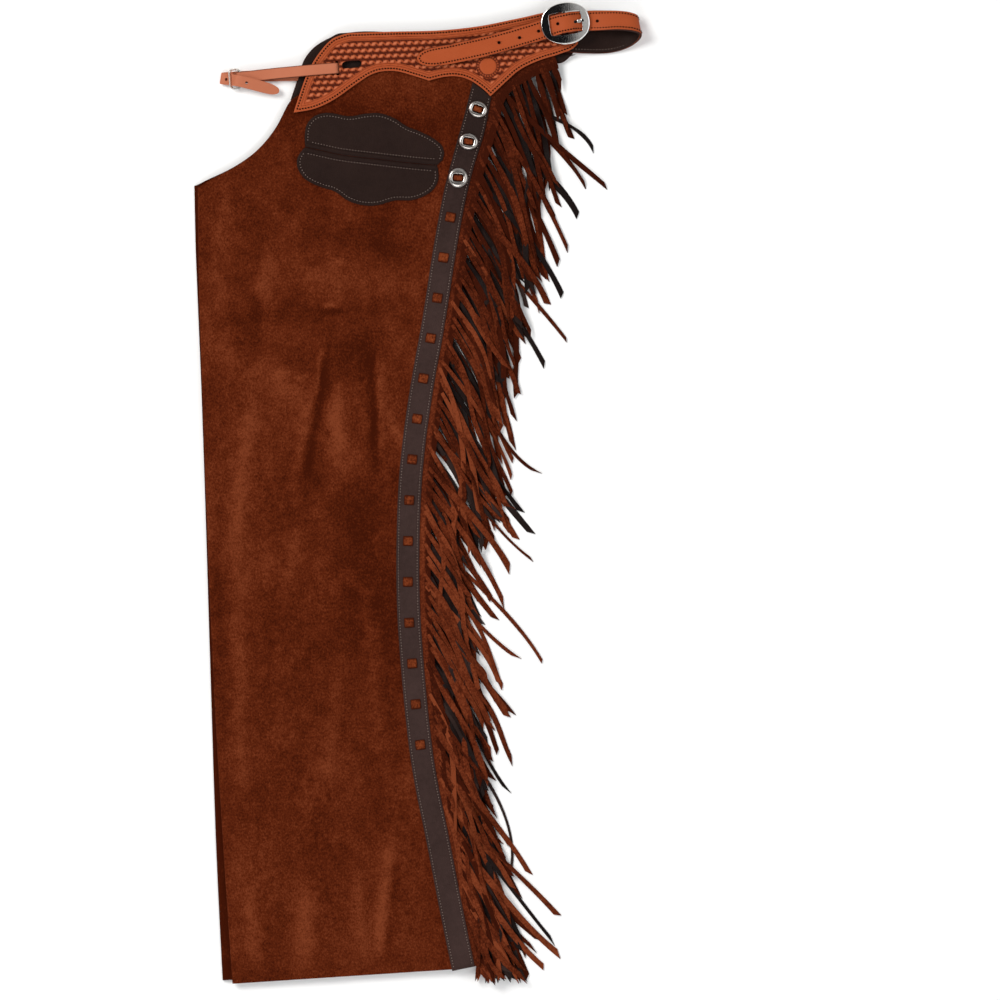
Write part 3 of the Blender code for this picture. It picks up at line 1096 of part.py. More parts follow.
def make_fringe(row, pile, material):
    """One fringe: a narrow uncut band beside the seam and the strands cut out of its outer edge."""
    chance = random.Random(row["seed"])
    shown = SEAM[:, 1] <= row["top_y"]
    edge, inner = beside_seam(row["margin"])[shown], band_inner(row)[shown]
    run = running_length(edge)
    ahead = np.gradient(edge, axis=0)
    ahead /= np.linalg.norm(ahead, axis=1)[:, None]
    strays = [item for item in STRAYS if item["layer"] == row["layer"]]
    first, last = ROOT_ENDS[0], run[-1] - ROOT_ENDS[1]
    roots = [(float(at), None) for at in np.linspace(first, last, row["count"])]
    for item in strays:
        at = float(np.interp(item["y"], edge[:, 1], run))
        plain = [k for k, (_, stray) in enumerate(roots) if stray is None]
        nearest = min(plain, key=lambda k: abs(roots[k][0] - at))
        roots[nearest] = (roots[nearest][0], item)
    leans = {key: [item[key] for item in FRINGE_LEAN] for key in ("y", "root", "tip", "long")}
    points, faces, laid = [], [], []
    for planned, stray in roots:
        best = None
        for attempt in range(ATTEMPTS):
            moved = chance.uniform(-PLAY["shift"], PLAY["shift"]) if attempt >= EASY_ATTEMPTS else 0.0
            at = planned + moved
            start = np.array([np.interp(at, run, edge[:, axis]) for axis in (0, 1)])
            along_edge = np.array([np.interp(at, run, ahead[:, axis]) for axis in (0, 1)])
            if stray:
                route = stray_route(start, stray)
                width = stray["wide"]
                if attempt:
                    shift = chance.uniform(-PLAY["shift"], PLAY["shift"])
                    route[:, 0] += np.linspace(0, 1, len(route)) * shift
            else:
                root, tip, long = (np.interp(start[1], leans["y"], leans[key])
                                   for key in ("root", "tip", "long"))
                root += chance.uniform(-PLAY["root"], PLAY["root"])
                tip += chance.gauss(0, PLAY["tip"])
                long *= chance.uniform(PLAY["shorter"], PLAY["longer"])
                bend = chance.uniform(-PLAY["bend"], PLAY["bend"])
                side_step = chance.uniform(-PLAY["stray"], PLAY["stray"])
                route = strand_route(start, root, tip, long, bend, side_step)
                width = STRAND_WIDTH * chance.uniform(PLAY["narrower"], PLAY["wider"])
            left, right = strand_corners(route, width, along_edge, row["stations"])
            root_z = float(band_height(row, [start])[0])
            heights = settle(left, right, root_z, pile)
            if heights is None or turns_back(left, right):
                continue
            score = heights.max()
            if best is None or score < best[0]:
                best = (score, at, left, right, heights)
            if best and (stray or attempt >= EASY_ATTEMPTS):
                break
        if best is None:
            continue
        _, at, left, right, heights = best
        lay_strand(left, right, heights, row["thick"], pile)
        laid.append((at, left, right, heights))
    band = []
    for at, left, right, heights in laid:
        band.append((at - ROOT_HALF, None))
        band.append((at + ROOT_HALF, (left, right, heights)))
    stops = [(0.0, None)] + band + [(float(run[-1]), None)]
    for at, _ in stops:
        outer_xy = [np.interp(at, run, edge[:, axis]) for axis in (0, 1)]
        inner_xy = [np.interp(at, run, inner[:, axis]) for axis in (0, 1)]
        low = float(band_height(row, [outer_xy])[0])
        for x, y in (inner_xy, outer_xy):
            points.append((x, y, low))
            points.append((x, y, low + row["thick"]))
    # Each stop has four points: inner low, inner high, outer low, outer high.
    for k in range(len(stops) - 1):
        a, b = 4 * k, 4 * (k + 1)
        faces.append([a + 1, a + 3, b + 3, b + 1])
        faces.append([a, b, b + 2, a + 2])
        faces.append([a, a + 1, b + 1, b])
        if stops[k + 1][1] is None:
            faces.append([a + 2, b + 2, b + 3, a + 3])
    faces.append([0, 2, 3, 1])
    end = 4 * (len(stops) - 1)
    faces.append([end, end + 1, end + 3, end + 2])
    for k in range(1, len(stops)):
        strand = stops[k][1]
        if strand is None:
            continue
        left, right, heights = strand
        # The root's right edge is the lower stop, its left edge the upper one.
        ring = [4 * (k - 1) + 2, 4 * k + 2, 4 * k + 3, 4 * (k - 1) + 3]
        for station in range(1, len(heights)):
            z = heights[station]
            base = len(points)
            points.append((*right[station], z))
            points.append((*left[station], z))
            points.append((*left[station], z + row["thick"]))
            points.append((*right[station], z + row["thick"]))
            new = [base, base + 1, base + 2, base + 3]
            for side in range(4):
                faces.append([ring[side], ring[(side + 1) % 4], new[(side + 1) % 4], new[side]])
            ring = new
        faces.append(ring)
    return make_solid(row["name"], points, faces, material)


def make_fringes(suede, smooth):
    pile = Pile()
    for row in FRINGES:
        shown = SEAM[:, 1] <= row["top_y"]
        band = np.array([beside_seam(at)[shown] for at in np.linspace(0, row["margin"] - 0.5, 60)])
        tops = band_height(row, beside_seam(row["margin"])[shown]) + row["thick"]
        make_fringe(row, pile, suede if "suede" in row["name"] else smooth)
        pile.add(band, np.broadcast_to(tops, band.shape[:2]))


def build():
    clear_scene()
    suede = finish("suede", (0.105, 0.022, 0.006), 0.95)
    smooth = finish("dark_leather", (0.028, 0.014, 0.012), 0.55)
    tooled = finish("tooled_leather", (0.36, 0.075, 0.024), 0.5)
    nickel = finish("nickel", (0.75, 0.75, 0.73), 0.22, 1.0)
    leg("right", right_front, right_back, "right_leg", suede)
    leg("left", left_front, left_back, "left_leg", suede)
    make_yokes(tooled, smooth)
    make_trims(smooth)
    make_pocket(smooth)
    make_lace(suede)
    for number, row in enumerate(CONCHOS, start=1):
        make_concho(number, row, nickel, suede)
    make_belt(tooled, smooth)
    make_buckle(nickel, tooled)
    make_front_straps(tooled, nickel)
    make_fringes(suede, smooth)


build()
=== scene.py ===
import math
import random

import bmesh
import bpy
import numpy as np
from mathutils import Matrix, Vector, noise
from mathutils.bvhtree import BVHTree
from mathutils.geometry import delaunay_2d_cdt


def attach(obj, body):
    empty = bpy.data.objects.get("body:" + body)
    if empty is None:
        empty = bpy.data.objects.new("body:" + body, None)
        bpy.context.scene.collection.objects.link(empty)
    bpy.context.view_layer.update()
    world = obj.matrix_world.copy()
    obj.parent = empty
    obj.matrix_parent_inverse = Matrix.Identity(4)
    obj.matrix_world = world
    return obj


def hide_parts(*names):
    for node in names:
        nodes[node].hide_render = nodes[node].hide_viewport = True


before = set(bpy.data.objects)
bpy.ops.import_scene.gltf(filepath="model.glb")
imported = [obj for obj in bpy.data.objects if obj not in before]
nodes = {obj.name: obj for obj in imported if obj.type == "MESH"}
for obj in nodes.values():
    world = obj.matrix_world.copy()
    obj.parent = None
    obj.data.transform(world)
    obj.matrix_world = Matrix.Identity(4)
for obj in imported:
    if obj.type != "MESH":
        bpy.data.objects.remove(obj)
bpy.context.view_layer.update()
MM = 0.001

# ---- Suede legs ---------------------------------------------------------------------------------------
# Each leg is one hide of 1.6 mm suede, rough side out, wrapped round the inner leg so that its front and
# back meet at the outer seam.  Wear has folded it softly and lightened its nap in places; painted shade
# darkens other patches, the troughs of its creases and the lower leg.


def table(columns, *rows):
    """Rows of values, each under the name of its column."""
    return [dict(zip(columns.split(), row)) for row in rows]


SHARP = math.radians(62)           # a fold between faces that stays an edge
CUT_EDGE = 5.0                     # narrower smooth faces are a piece's cut edges
LONGEST_CELL = 0.030
SUEDE_DARK, SUEDE_BODY = (0.042, 0.0054, 0.0010), (0.089, 0.0138, 0.0032)
SUEDE_LIGHT = (0.171, 0.0372, 0.0125)
SUEDE_STOPS = (0.12, 0.45, 0.88)   # tones at which the three colours stand
# how far the painted wear and the painted shade move the suede's tone
SUEDE_TONE, WEAR_AND_SHADE_TONE = 0.405, 0.26
# The hide's markings from blotches to fibres: how many to a metre, how fine and rough they break up, how
# they are stretched and turned, and their shares in the colour and in the relief.
SUEDE_MARKINGS = table(
    "scale detail rough stretch turn tone relief",
    (11.0, 4.0, 0.62, 1.0, 0.0, 0.60, 0.0), (22.0, 4.0, 0.6, 0.22, 0.12, 0.30, 0.0),
    (80.0, 3.0, 0.6, 1.0, 0.0, 0.50, 0.0), (420.0, 3.0, 0.7, 1.0, 0.0, 1.15, 0.14),
    (1000.0, 2.0, 0.6, 0.45, 0.35, 0.80, 0.14), (55.0, 5.0, 0.65, 0.55, 0.6, 0.35, 0.86),
)
SUEDE_RELIEF = 0.0025
# Ridges (high above 0) and troughs of the upper leg's front: middle, half length and width, height, turn.
FRONT_CREASES = table(
    "x y long wide high turn",
    (-92, 201, 11, 2.6, 1.7, 6), (-92, 195, 12, 2.8, -1.2, 8), (-106, 130, 26, 3.0, 1.4, 81),
    (-100, 128, 28, 3.4, -1.3, 81), (-47, 94, 60, 3.6, -1.7, 92), (-41, 96, 52, 4.5, 0.9, 92),
    (-112, 60, 44, 4.5, -1.6, 80), (-122, 66, 40, 5.5, 0.9, 80), (-139, 128, 26, 3.2, 1.1, -16),
    (-86, 76, 38, 9.0, 0.9, 90), (-22, 64, 26, 4.0, 0.8, 118), (-80, 246, 14, 3.0, 0.9, -18),
    (-214, 270, 50, 4.5, 0.9, 84), (-166, 235, 26, 5.0, 0.8, 80), (-158, 180, 60, 8.0, 0.8, 98),
    (-186, 20, 85, 7.0, 0.9, 86), (-130, -55, 60, 9.0, 0.8, 80), (-70, -95, 22, 4.0, 0.9, -38),
    (-48, -190, 75, 8.0, 0.9, 95), (-90, -230, 70, 8.0, 0.8, 84), (-190, -230, 90, 7.0, 0.9, 91),
    (-35, -425, 62, 6.0, 1.5, 84), (-27, -440, 55, 5.0, -0.8, 84), (-62, -450, 50, 8.0, 1.0, 96),
    (-120, -460, 48, 8.0, 0.9, 88), (-176, -468, 40, 7.0, 0.8, 95), (-150, 300, 34, 6.0, 0.7, 142),
)
# The same on the sides that lie down or inside, where the layers leave them less room.
HIDDEN_CREASES = table(
    "x y long wide high turn",
    (-170, 150, 120, 12, 0.30, 92), (-60, 60, 150, 14, 0.28, 86), (-120, -150, 170, 13, 0.32, 94),
    (-40, -330, 120, 11, 0.26, 84), (-180, -390, 100, 12, 0.30, 97),
)
# Where the nap is lighter from wear (much above 0), or darker, partly as painted shade in its folds: middle,
# half sizes, strength, turn.
NAP_WEAR_AND_SHADE = table(
    "x y long wide much turn",
    (-72, 226, 66, 16, 0.60, -8), (-152, 250, 34, 10, 0.45, 84), (-206, 250, 60, 7, 0.60, 86),
    (-150, 118, 40, 9, 0.65, -20), (-164, 84, 40, 18, 0.60, 32), (-190, 30, 70, 12, 0.45, 80),
    (-86, 76, 38, 9, 0.70, 90), (-74, 20, 20, 9, 0.45, 60), (-20, 66, 40, 9, 0.55, 112),
    (-196, -80, 110, 12, 0.45, 90), (-146, -70, 46, 22, 0.35, 10), (-150, -240, 80, 20, 0.30, 82),
    (-90, -310, 110, 26, 0.30, 74), (-40, -440, 70, 14, 0.60, 86), (-120, -455, 50, 16, 0.45, 92),
    (-180, -440, 56, 14, 0.50, 92), (8, 60, 190, 10, 0.40, 88), (-60, 270, 60, 16, -0.80, -12),
    (-20, 330, 60, 20, -0.70, 60), (-186, 190, 26, 12, -0.60, 10), (-120, 190, 60, 14, -0.60, 4),
    (-174, 160, 50, 12, -0.40, -22), (-66, 150, 26, 20, -0.75, 80), (-102, 100, 40, 5, -0.80, 86),
    (-50, 80, 66, 5, -0.80, 94), (-118, 6, 40, 9, -1.00, 70), (-60, -70, 80, 26, -0.60, 92),
    (-30, -150, 70, 18, -0.50, 86), (-212, -150, 180, 9, -0.50, 88), (-120, -150, 50, 20, -0.30, 0),
    (-96, -200, 60, 16, -0.40, 70), (-110, -380, 60, 14, -0.35, 80), (-130, 330, 60, 30, -0.50, 60),
    (-60, 400, 110, 22, -0.70, -4), (-170, 290, 40, 16, -0.35, 90),
)
CREASE_WEAR_AND_SHADE = 0.9                    # how much a crease's height shows in its colour: ridges lighter, as wear and painted highlight; troughs darker, as painted shade
UNDER_LEG_SHADE = 1.6                     # how much darker the right leg's suede is painted: painted shade where it lies under the left leg
FRONT_ABOVE, INSIDE_BELOW = (6.6, 7.6), (6.4, 6.7)          # heights that part the left leg's two halves
LIES_FLAT = (0.2, 2.0)             # the right leg's underside lies on the floor up to here
CREASES_END = {"left": 300, "right": 330, "fade": 40}       # below the yokes
UNEVEN = {"across": 0.028, "down": 0.012, "seed": 3.0, "high": 0.45}    # the front's soft unevenness
NAP_WANDER = {"scale": 0.045, "seeds": (1.0, 5.0), "reach": 14.0}       # how the edges of the wear and painted-shade marks wander


class Value:
    """A number that varies over a surface.  Arithmetic on it adds the Math nodes that work it out."""

    def __init__(self, tree, socket):
        self.tree, self.socket = tree, socket

    def math(self, operation, *others, clamp=False):
        node = self.tree.nodes.new("ShaderNodeMath")
        node.operation = operation
        node.use_clamp = clamp
        for place, value in zip(node.inputs, others):
            if isinstance(value, Value):
                self.tree.links.new(value.socket, place)
            else:
                place.default_value = value
        return Value(self.tree, node.outputs[0])

    def __add__(self, other):
        return self.math("ADD", self, other)

    def __sub__(self, other):
        return self.math("SUBTRACT", self, other)

    def __rsub__(self, other):
        return self.math("SUBTRACT", other, self)

    def __mul__(self, other):
        return self.math("MULTIPLY", self, other)

    __radd__ = __add__
    __rmul__ = __mul__

    def within(self):
        """The same, held between 0 and 1."""
        return self.math("ADD", self, 0.0, clamp=True)


class Finish:
    """A leather, metal or thread finish whose parts are worked out over the surface.  It is a material,
    but for the studio's backdrop, which is a world."""

    def __init__(self, name, kind="materials", shader="Principled BSDF", **constants):
        self.material = getattr(bpy.data, kind).new(name)
        self.material.use_nodes = True
        self.tree = self.material.node_tree
        self.shader = self.tree.nodes[shader]
        for socket, value in constants.items():
            self.shader.inputs[socket.replace("_", " ")].default_value = value

    def node(self, kind, settings, sockets, output=0):
        made = self.tree.nodes.new("ShaderNode" + kind)
        for name, value in settings.items():
            if name == "stops":
                ramp = made.color_ramp
                for _ in value[2:]:
                    ramp.elements.new(0.5)
                for stop, (place, shade) in zip(ramp.elements, value):
                    stop.position = place
                    stop.color = (*shade, 1.0)
            else:
                setattr(made, name, value)
        for name, value in sockets.items():
            if isinstance(value, Value):
                self.tree.links.new(value.socket, made.inputs[name])
            else:
                made.inputs[name].default_value = value
        return Value(self.tree, made.outputs[output])

    def place(self, scale=(1.0, 1.0, 1.0), turn=0.0):
        """Where a point lies, in metres, stretched and turned."""
        here = self.node("TexCoord", {}, {}, "Object")
        return self.node("Mapping", {}, {"Vector": here, "Scale": scale, "Rotation": (0.0, 0.0, turn)})

    def cloud(self, scale, detail, rough, where=None):
        """Cloudy marks, scale of them to a metre, broken up detail times."""
        return self.node("TexNoise", {}, {"Vector": where or self.place(), "Scale": scale, "Detail": detail,
                                          "Roughness": rough}, "Fac")

    def painted(self, name):
        """A value stored on the piece's points."""
        return self.node("Attribute", {"attribute_name": name}, {}, "Fac")

    def blend(self, share, first, second):
        """The second colour laid over the first one."""
        first, second = (shade if isinstance(shade, Value) else (*shade, 1.0) for shade in (first, second))
        return self.node("Mix", {"data_type": "RGBA"}, {0: share, 6: first, 7: second}, 2)

    def shade(self, socket, value):
        self.tree.links.new(value.socket, self.shader.inputs[socket])

    def relief(self, height, depth):
        """Fine relief that is finer than the mesh, depth in metres."""
        self.shade("Normal", self.node("Bump", {}, {"Height": height, "Distance": depth, "Strength": 1.0}))


def suede(name, dark=SUEDE_DARK, body=SUEDE_BODY, light=SUEDE_LIGHT):
    """Split leather with its nap up: dull, furry, blotched, lighter where wear has reached it and darker
    where painted shade lies on it.
    """
    finish = Finish(name, Roughness=0.95, Sheen_Weight=0.03, Sheen_Roughness=0.5,
                    Sheen_Tint=(0.8, 0.30, 0.14, 1.0), Specular_IOR_Level=0.03)
    tone, height = SUEDE_TONE, 0.0
    for row in SUEDE_MARKINGS:
        where = finish.place((1.0, row["stretch"], 1.0), row["turn"])
        marking = finish.cloud(row["scale"], row["detail"], row["rough"], where)
        tone = tone + (marking - 0.5) * row["tone"]
        height = height + marking * row["relief"]
    # the painted value: lighter where wear has reached the nap, darker where painted shade lies
    tone = (tone + finish.painted("rubbed") * WEAR_AND_SHADE_TONE).within()
    stops = list(zip(SUEDE_STOPS, (dark, body, light)))
    finish.shade("Base Color", finish.node("ValToRGB", {"stops": stops}, {"Fac": tone}))
    finish.relief(height, SUEDE_RELIEF)
    return finish.material


def working_copy(node):
    """A cut piece's mesh with its corners merged and its triangles joined back to squares."""
    shape = bmesh.new()
    shape.from_mesh(node.data)
    bmesh.ops.remove_doubles(shape, verts=shape.verts, dist=1e-6)
    bmesh.ops.join_triangles(shape, faces=shape.faces, angle_face_threshold=math.radians(25),
                             angle_shape_threshold=math.radians(60))
    shape.faces.ensure_lookup_table()
    return shape


def tree_of(node):
    """The cut piece as a shape that lines and points can be laid on."""
    shape = working_copy(nodes[node])
    tree = BVHTree.FromBMesh(shape)
    shape.free()
    return tree


def smooth_faces(shape):
    """Groups of faces that run into each other without a sharp edge."""
    left, groups = set(shape.faces), []
    while left:
        group, todo = set(), [left.pop()]
        while todo:
            face = todo.pop()
            group.add(face)
            for edge in face.edges:
                if edge.calc_face_angle(math.pi) < SHARP:
                    for other in edge.link_faces:
                        if other in left:
                            left.discard(other)
                            todo.append(other)
        groups.append(group)
    return groups


def placed(name, data):
    """A new object in the scene."""
    item = bpy.data.objects.new(name, data)
    bpy.context.scene.collection.objects.link(item)
    return item


def show(name, mesh, materials):
    """A finished piece: smooth but for its sharp edges."""
    for material in materials:
        mesh.materials.append(material)
    mesh.shade_smooth()
    mesh.set_sharp_from_angle(angle=math.radians(50))
    return placed(name, mesh)


def is_broad(group):
    """Whether a smooth group of faces is a side of the leather rather than its narrow cut edge."""
    rim = sum(edge.calc_length() for face in group for edge in face.edges
              if not all(other in group for other in edge.link_faces))
    return 2 * sum(face.calc_area() for face in group) > CUT_EDGE * MM * rim


def refined(node, name, materials, levels=2, longest=1.0, crease=1.0, sharp=SHARP, mend=None):
    """A finely divided copy of a cut piece with smooth curves.  Its cut edges take the second material."""
    shape = working_copy(nodes[node])
    if mend:
        mend(shape)
    if longest < 1.0:
        long_edges = [edge for edge in shape.edges if edge.calc_length() > longest]
        bmesh.ops.subdivide_edges(shape, edges=long_edges, cuts=1, use_grid_fill=True)
    broad = set().union(*filter(is_broad, smooth_faces(shape)))
    keep = shape.edges.layers.float.new("crease_edge")
    for edge in shape.edges:
        if edge.calc_face_angle(math.pi) > sharp:
            edge[keep] = crease
    for face in shape.faces:
        face.material_index = 0 if face in broad or len(materials) < 2 else 1
    rough = bpy.data.meshes.new(name + "_rough")
    shape.to_mesh(rough)
    shape.free()
    if "custom_normal" in rough.attributes:
        rough.attributes.remove(rough.attributes["custom_normal"])
    item = placed(name + "_rough", rough)
    item.modifiers.new("divide", "SUBSURF").levels = levels
    fine = bpy.data.meshes.new_from_object(item.evaluated_get(bpy.context.evaluated_depsgraph_get()))
    bpy.data.objects.remove(item)
    fine.name = name
    return show(name, fine, materials)


def points_of(item):
    points = np.zeros(len(item.data.vertices) * 3)
    item.data.vertices.foreach_get("co", points)
    return points.reshape(-1, 3)


def paint(item, name, values):
    """A value stored on each of the piece's points, for its finish."""
    layer = item.data.attributes.new(name, "FLOAT", "POINT")
    layer.data.foreach_set("value", np.asarray(values, dtype=np.float32))


def rise(value, low, high):
    """0 below low, 1 above high, and a smooth rise between."""
    share = np.clip((value - low) / (high - low), 0, 1)
    return share * share * (3 - 2 * share)


def sum_of_marks(rows, x, y, key):
    """Soft oval marks laid over a piece, in millimetres, added up."""
    total = np.zeros_like(x)
    for row in rows:
        turn = math.radians(row["turn"])
        along = ((x - row["x"]) * math.cos(turn) + (y - row["y"]) * math.sin(turn)) / row["long"]
        aside = ((y - row["y"]) * math.cos(turn) - (x - row["x"]) * math.sin(turn)) / row["wide"]
        total += row[key] * np.exp(-along ** 4 - aside ** 2)
    return total


def wave_over(x, y, seed):
    """Soft unevenness between about -1 and 1 over flat points."""
    return np.array([noise.noise((a, b, seed)) for a, b in zip(x, y)])


def make_leg(side, material, raw_edge):
    """One leg's hide with its creases, its nap lighter where wear has reached it and darker with painted
    shade in the crease troughs and over the lower leg.
    """
    piece = refined(f"{side}_leg", f"{side}_leg_suede", [material, raw_edge], longest=LONGEST_CELL)
    points = points_of(piece)
    x, y, z = (points / MM).T
    ridges = sum_of_marks(FRONT_CREASES, x, y, "high")
    hidden = sum_of_marks(HIDDEN_CREASES, x, y, "high")
    below_yoke = rise(CREASES_END[side] - y, 0, CREASES_END["fade"])
    if side == "left":
        uneven = wave_over(x * UNEVEN["across"], y * UNEVEN["down"], UNEVEN["seed"]) * UNEVEN["high"]
        height = rise(z, *FRONT_ABOVE) * below_yoke * (ridges + uneven)
        height += (1 - rise(z, *INSIDE_BELOW)) * hidden
    else:
        height = rise(z, *LIES_FLAT) * hidden * below_yoke
    points[:, 2] += height * MM
    piece.data.vertices.foreach_set("co", points.ravel())
    scale, reach = NAP_WANDER["scale"], NAP_WANDER["reach"]
    away_x, away_y = (wave_over(x * scale, y * scale, seed) * reach for seed in NAP_WANDER["seeds"])
    # lighter for wear and painted highlight on the ridges, darker for painted shade in the troughs, some dark
    # marks and all of the lower leg
    rubbed = sum_of_marks(NAP_WEAR_AND_SHADE, x + away_x, y + away_y, "much") + CREASE_WEAR_AND_SHADE * ridges
    paint(piece, "rubbed", rubbed - (UNDER_LEG_SHADE if side == "right" else 0.0))
    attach(piece, "root")
    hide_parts(f"{side}_leg")
    return piece


leg_suede = suede("leg_suede")
raw_suede = suede("raw_suede_edge", body=(0.085, 0.02, 0.006))
legs = {side: make_leg(side, leg_suede, raw_suede) for side in ("right", "left")}

# ---- Yokes --------------------------------------------------------------------------------------------
# The shaped waist pieces are 3 mm vegetable-tanned leather, cased and stamped by hand with a basketweave
# inside two border lines, dyed, antiqued and stitched down.  The right one lies tooled side down.
STITCH_GROOVE = 2.6                # from the edge
FIELD_EDGE, FIELD_WALL = 8.9, (0.5, 0.3)           # where the stamped field begins, and the slope into it
FIELD_DEPTH = 1.1
TOOLED_LINES = [(STITCH_GROOVE, 0.45, 0.8), (5.6, 0.80, 0.50), (7.9, 0.80, 0.50)]    # inset, depth and width
WEAVE = {"along": 7.6, "across": 6.5, "turn": 2.0}
STRAP_END = {"long": 3.2, "wide": 1.9, "turn": 31.0}         # the raised strap of one stamp
CROSS_BAR = {"long": 3.0, "wide": 1.1, "turn": -50.0}        # the tucked strap between two of them
TUCKED = 0.58                      # how high it stands beside the raised one
BLUNT = 0.4                        # how flat-topped the straps are
STAMP = {"x": 74.9, "y": 456.1, "radius": 9.1, "rope": 12.2, "beads": 24}
# Its flat button sunk a little at the rim, the twisted rope round it, and the groove outside.
STAMP_FACE = {"deep": 0.05, "rim": 0.5, "rim_wide": 0.9, "rope_half": 1.4, "rope_high": 0.75, "groove": 0.5}
# where the weave's straps begin to be painted lighter: dressing wiped off, and painted highlight
WORN_AND_HIGHLIT_FROM, WORN_AND_HIGHLIT_TO = FIELD_EDGE - 0.2, FIELD_EDGE + 0.6
YOKE_SPACING, HIDDEN_SPACING = 0.7, 1.1            # between the points of a worked face
EDGE_ROUND, EDGE_DROP = 1.1, 0.55  # how wide and deep a cut edge is rounded
RIM_ROWS = (0.35, 1.0)             # rows of points over the rounding, as shares of its width
RIM_CLEAR, FIELD_CLEAR = 0.3, 0.4  # how near other points come to the edge, and to these rows
LEAST_STEP = 1.5                   # between points along an edge
TAN_LIGHT, TAN_BODY, TAN_DEEP = (0.40, 0.086, 0.029), (0.31, 0.053, 0.014), (0.058, 0.0075, 0.0026)
# the weave's straps: dressing wiped off them, and painted highlight on their tops
TAN_RAISED = (0.54, 0.168, 0.080)
STITCH = {"pitch": 3.1, "long": 2.3, "radius": 0.74}
STITCH_RINGS, STITCH_CORNERS = 5, 6
STITCH_END, STITCH_PROUD, STITCH_DIVE = 0.1, 0.5, 1.1        # how blunt it is, stands up and dives in
AHEAD = 0.6                        # how far on a stitch looks for its direction
CLEAR_OF_CORNER = 0.93


def tan_leather(name, light=TAN_LIGHT, body=TAN_BODY):
    """Drum-dyed russet leather: even, a little waxy, darker where the antique dressing stays in, and lighter
    on the weave's straps, partly as painted highlight.
    """
    finish = Finish(name, Specular_IOR_Level=0.05)
    mottle = finish.cloud(28.0, 5.0, 0.6)
    grain = finish.cloud(900.0, 4.0, 0.65)
    pores = finish.node("TexVoronoi", {"feature": "F1"}, {"Vector": finish.place(), "Scale": 1400.0},
                        "Distance")
    colour = finish.blend((0.5 + (mottle - 0.5) * 0.9 + (grain - 0.5) * 0.25).within(), body, light)
    recess = finish.painted("recess")
    # painted highlight on the weave's straps, along with the dressing wiped off them
    colour = finish.blend((finish.painted("worn") * (0.7 - recess * 1.5)).within(), colour, TAN_RAISED)
    dressing = (recess * (1.3 + (grain - 0.5) * 0.6) - 0.34).within()
    colour = finish.blend(dressing, colour, TAN_DEEP)
    finish.shade("Base Color", colour)
    finish.shade("Roughness", (0.42 + (grain - 0.5) * 0.25 + (mottle - 0.5) * 0.2).within())
    finish.relief(grain * 0.6 + pores * 0.4, 0.00018)
    return finish.material


def burnished(name, colour):
    """A cut edge burnished dark and slick."""
    finish = Finish(name, Specular_IOR_Level=0.10)
    layers = finish.cloud(420.0, 3.0, 0.6, finish.place((0.15, 0.15, 1.0)))
    finish.shade("Base Color", finish.blend(layers, [part * 0.45 for part in colour], colour))
    finish.shade("Roughness", 0.38 + layers * 0.25)
    finish.relief(layers, 0.0002)
    return finish.material


def face_rims(node, above):
    """The edges round the smooth face nearest a point, the longest first: their points and normals."""
    shape = working_copy(nodes[node])
    near = BVHTree.FromBMesh(shape).find_nearest(Vector(above) * MM)[2]
    group = next(group for group in smooth_faces(shape) if shape.faces[near] in group)
    follow = {}
    for face in [face for face in shape.faces if face in group]:
        for loop in face.loops:
            if not all(other in group for other in loop.edge.link_faces):
                ahead = loop.link_loop_next.vert.index
                follow[loop.vert.index] = (ahead, loop.vert.co.copy(), face.normal.copy())
    rims = []
    while follow:
        key = next(iter(follow))
        places, normals = [], []
        while key in follow:
            key, place, normal = follow.pop(key)
            places.append(place)
            normals.append(normal)
        rims.append((np.array(places) / MM, np.array(normals)))
    shape.free()
    return sorted(rims, key=lambda rim: -len(rim[0]) * np.ptp(rim[0], axis=0).max())


def unit(vectors):
    """The same directions, each of length 1."""
    return vectors / np.linalg.norm(vectors, axis=1)[:, None]


def smooth_loop(points, step, corner=math.radians(30)):
    """A closed line through the points, rounded but at its corners, and for each of its points where it
    lies among the given ones."""
    along = np.roll(points, -1, axis=0) - points
    length = np.linalg.norm(along, axis=1)
    straight = along / length[:, None]
    before = np.roll(straight, 1, axis=0)
    mean = straight + before
    mean /= np.maximum(np.linalg.norm(mean, axis=1), 1e-9)[:, None]
    is_corner = np.arccos(np.clip((straight * before).sum(axis=1), -1, 1)) > corner
    leave = np.where(is_corner[:, None], straight, mean)
    arrive = np.where(np.roll(is_corner, -1)[:, None], straight, np.roll(mean, -1, axis=0))
    leave, arrive, line, where = leave * length[:, None], arrive * length[:, None], [], []
    for k in range(len(points)):
        parts = max(1, math.ceil(length[k] / step))
        s = (np.arange(parts) / parts)[:, None]
        line.append(points[k] * (2 * s ** 3 - 3 * s ** 2 + 1) + leave[k] * (s ** 3 - 2 * s ** 2 + s)
                    + points[k + 1 - len(points)] * (3 * s ** 2 - 2 * s ** 3) + arrive[k] * (s ** 3 - s ** 2))
        where.append(k + s[:, 0])
    return np.vstack(line), np.concatenate(where)


def lengths(line):
    """How far along an open line each of its points lies."""
    return np.concatenate([[0], np.cumsum(np.linalg.norm(np.diff(line, axis=0), axis=1))])


def taken_at(line, run, at):
    """What a line holds at some lengths, where run is the length at each of its points."""
    return np.stack([np.interp(at, run, line[:, k]) for k in range(line.shape[1])], axis=1)


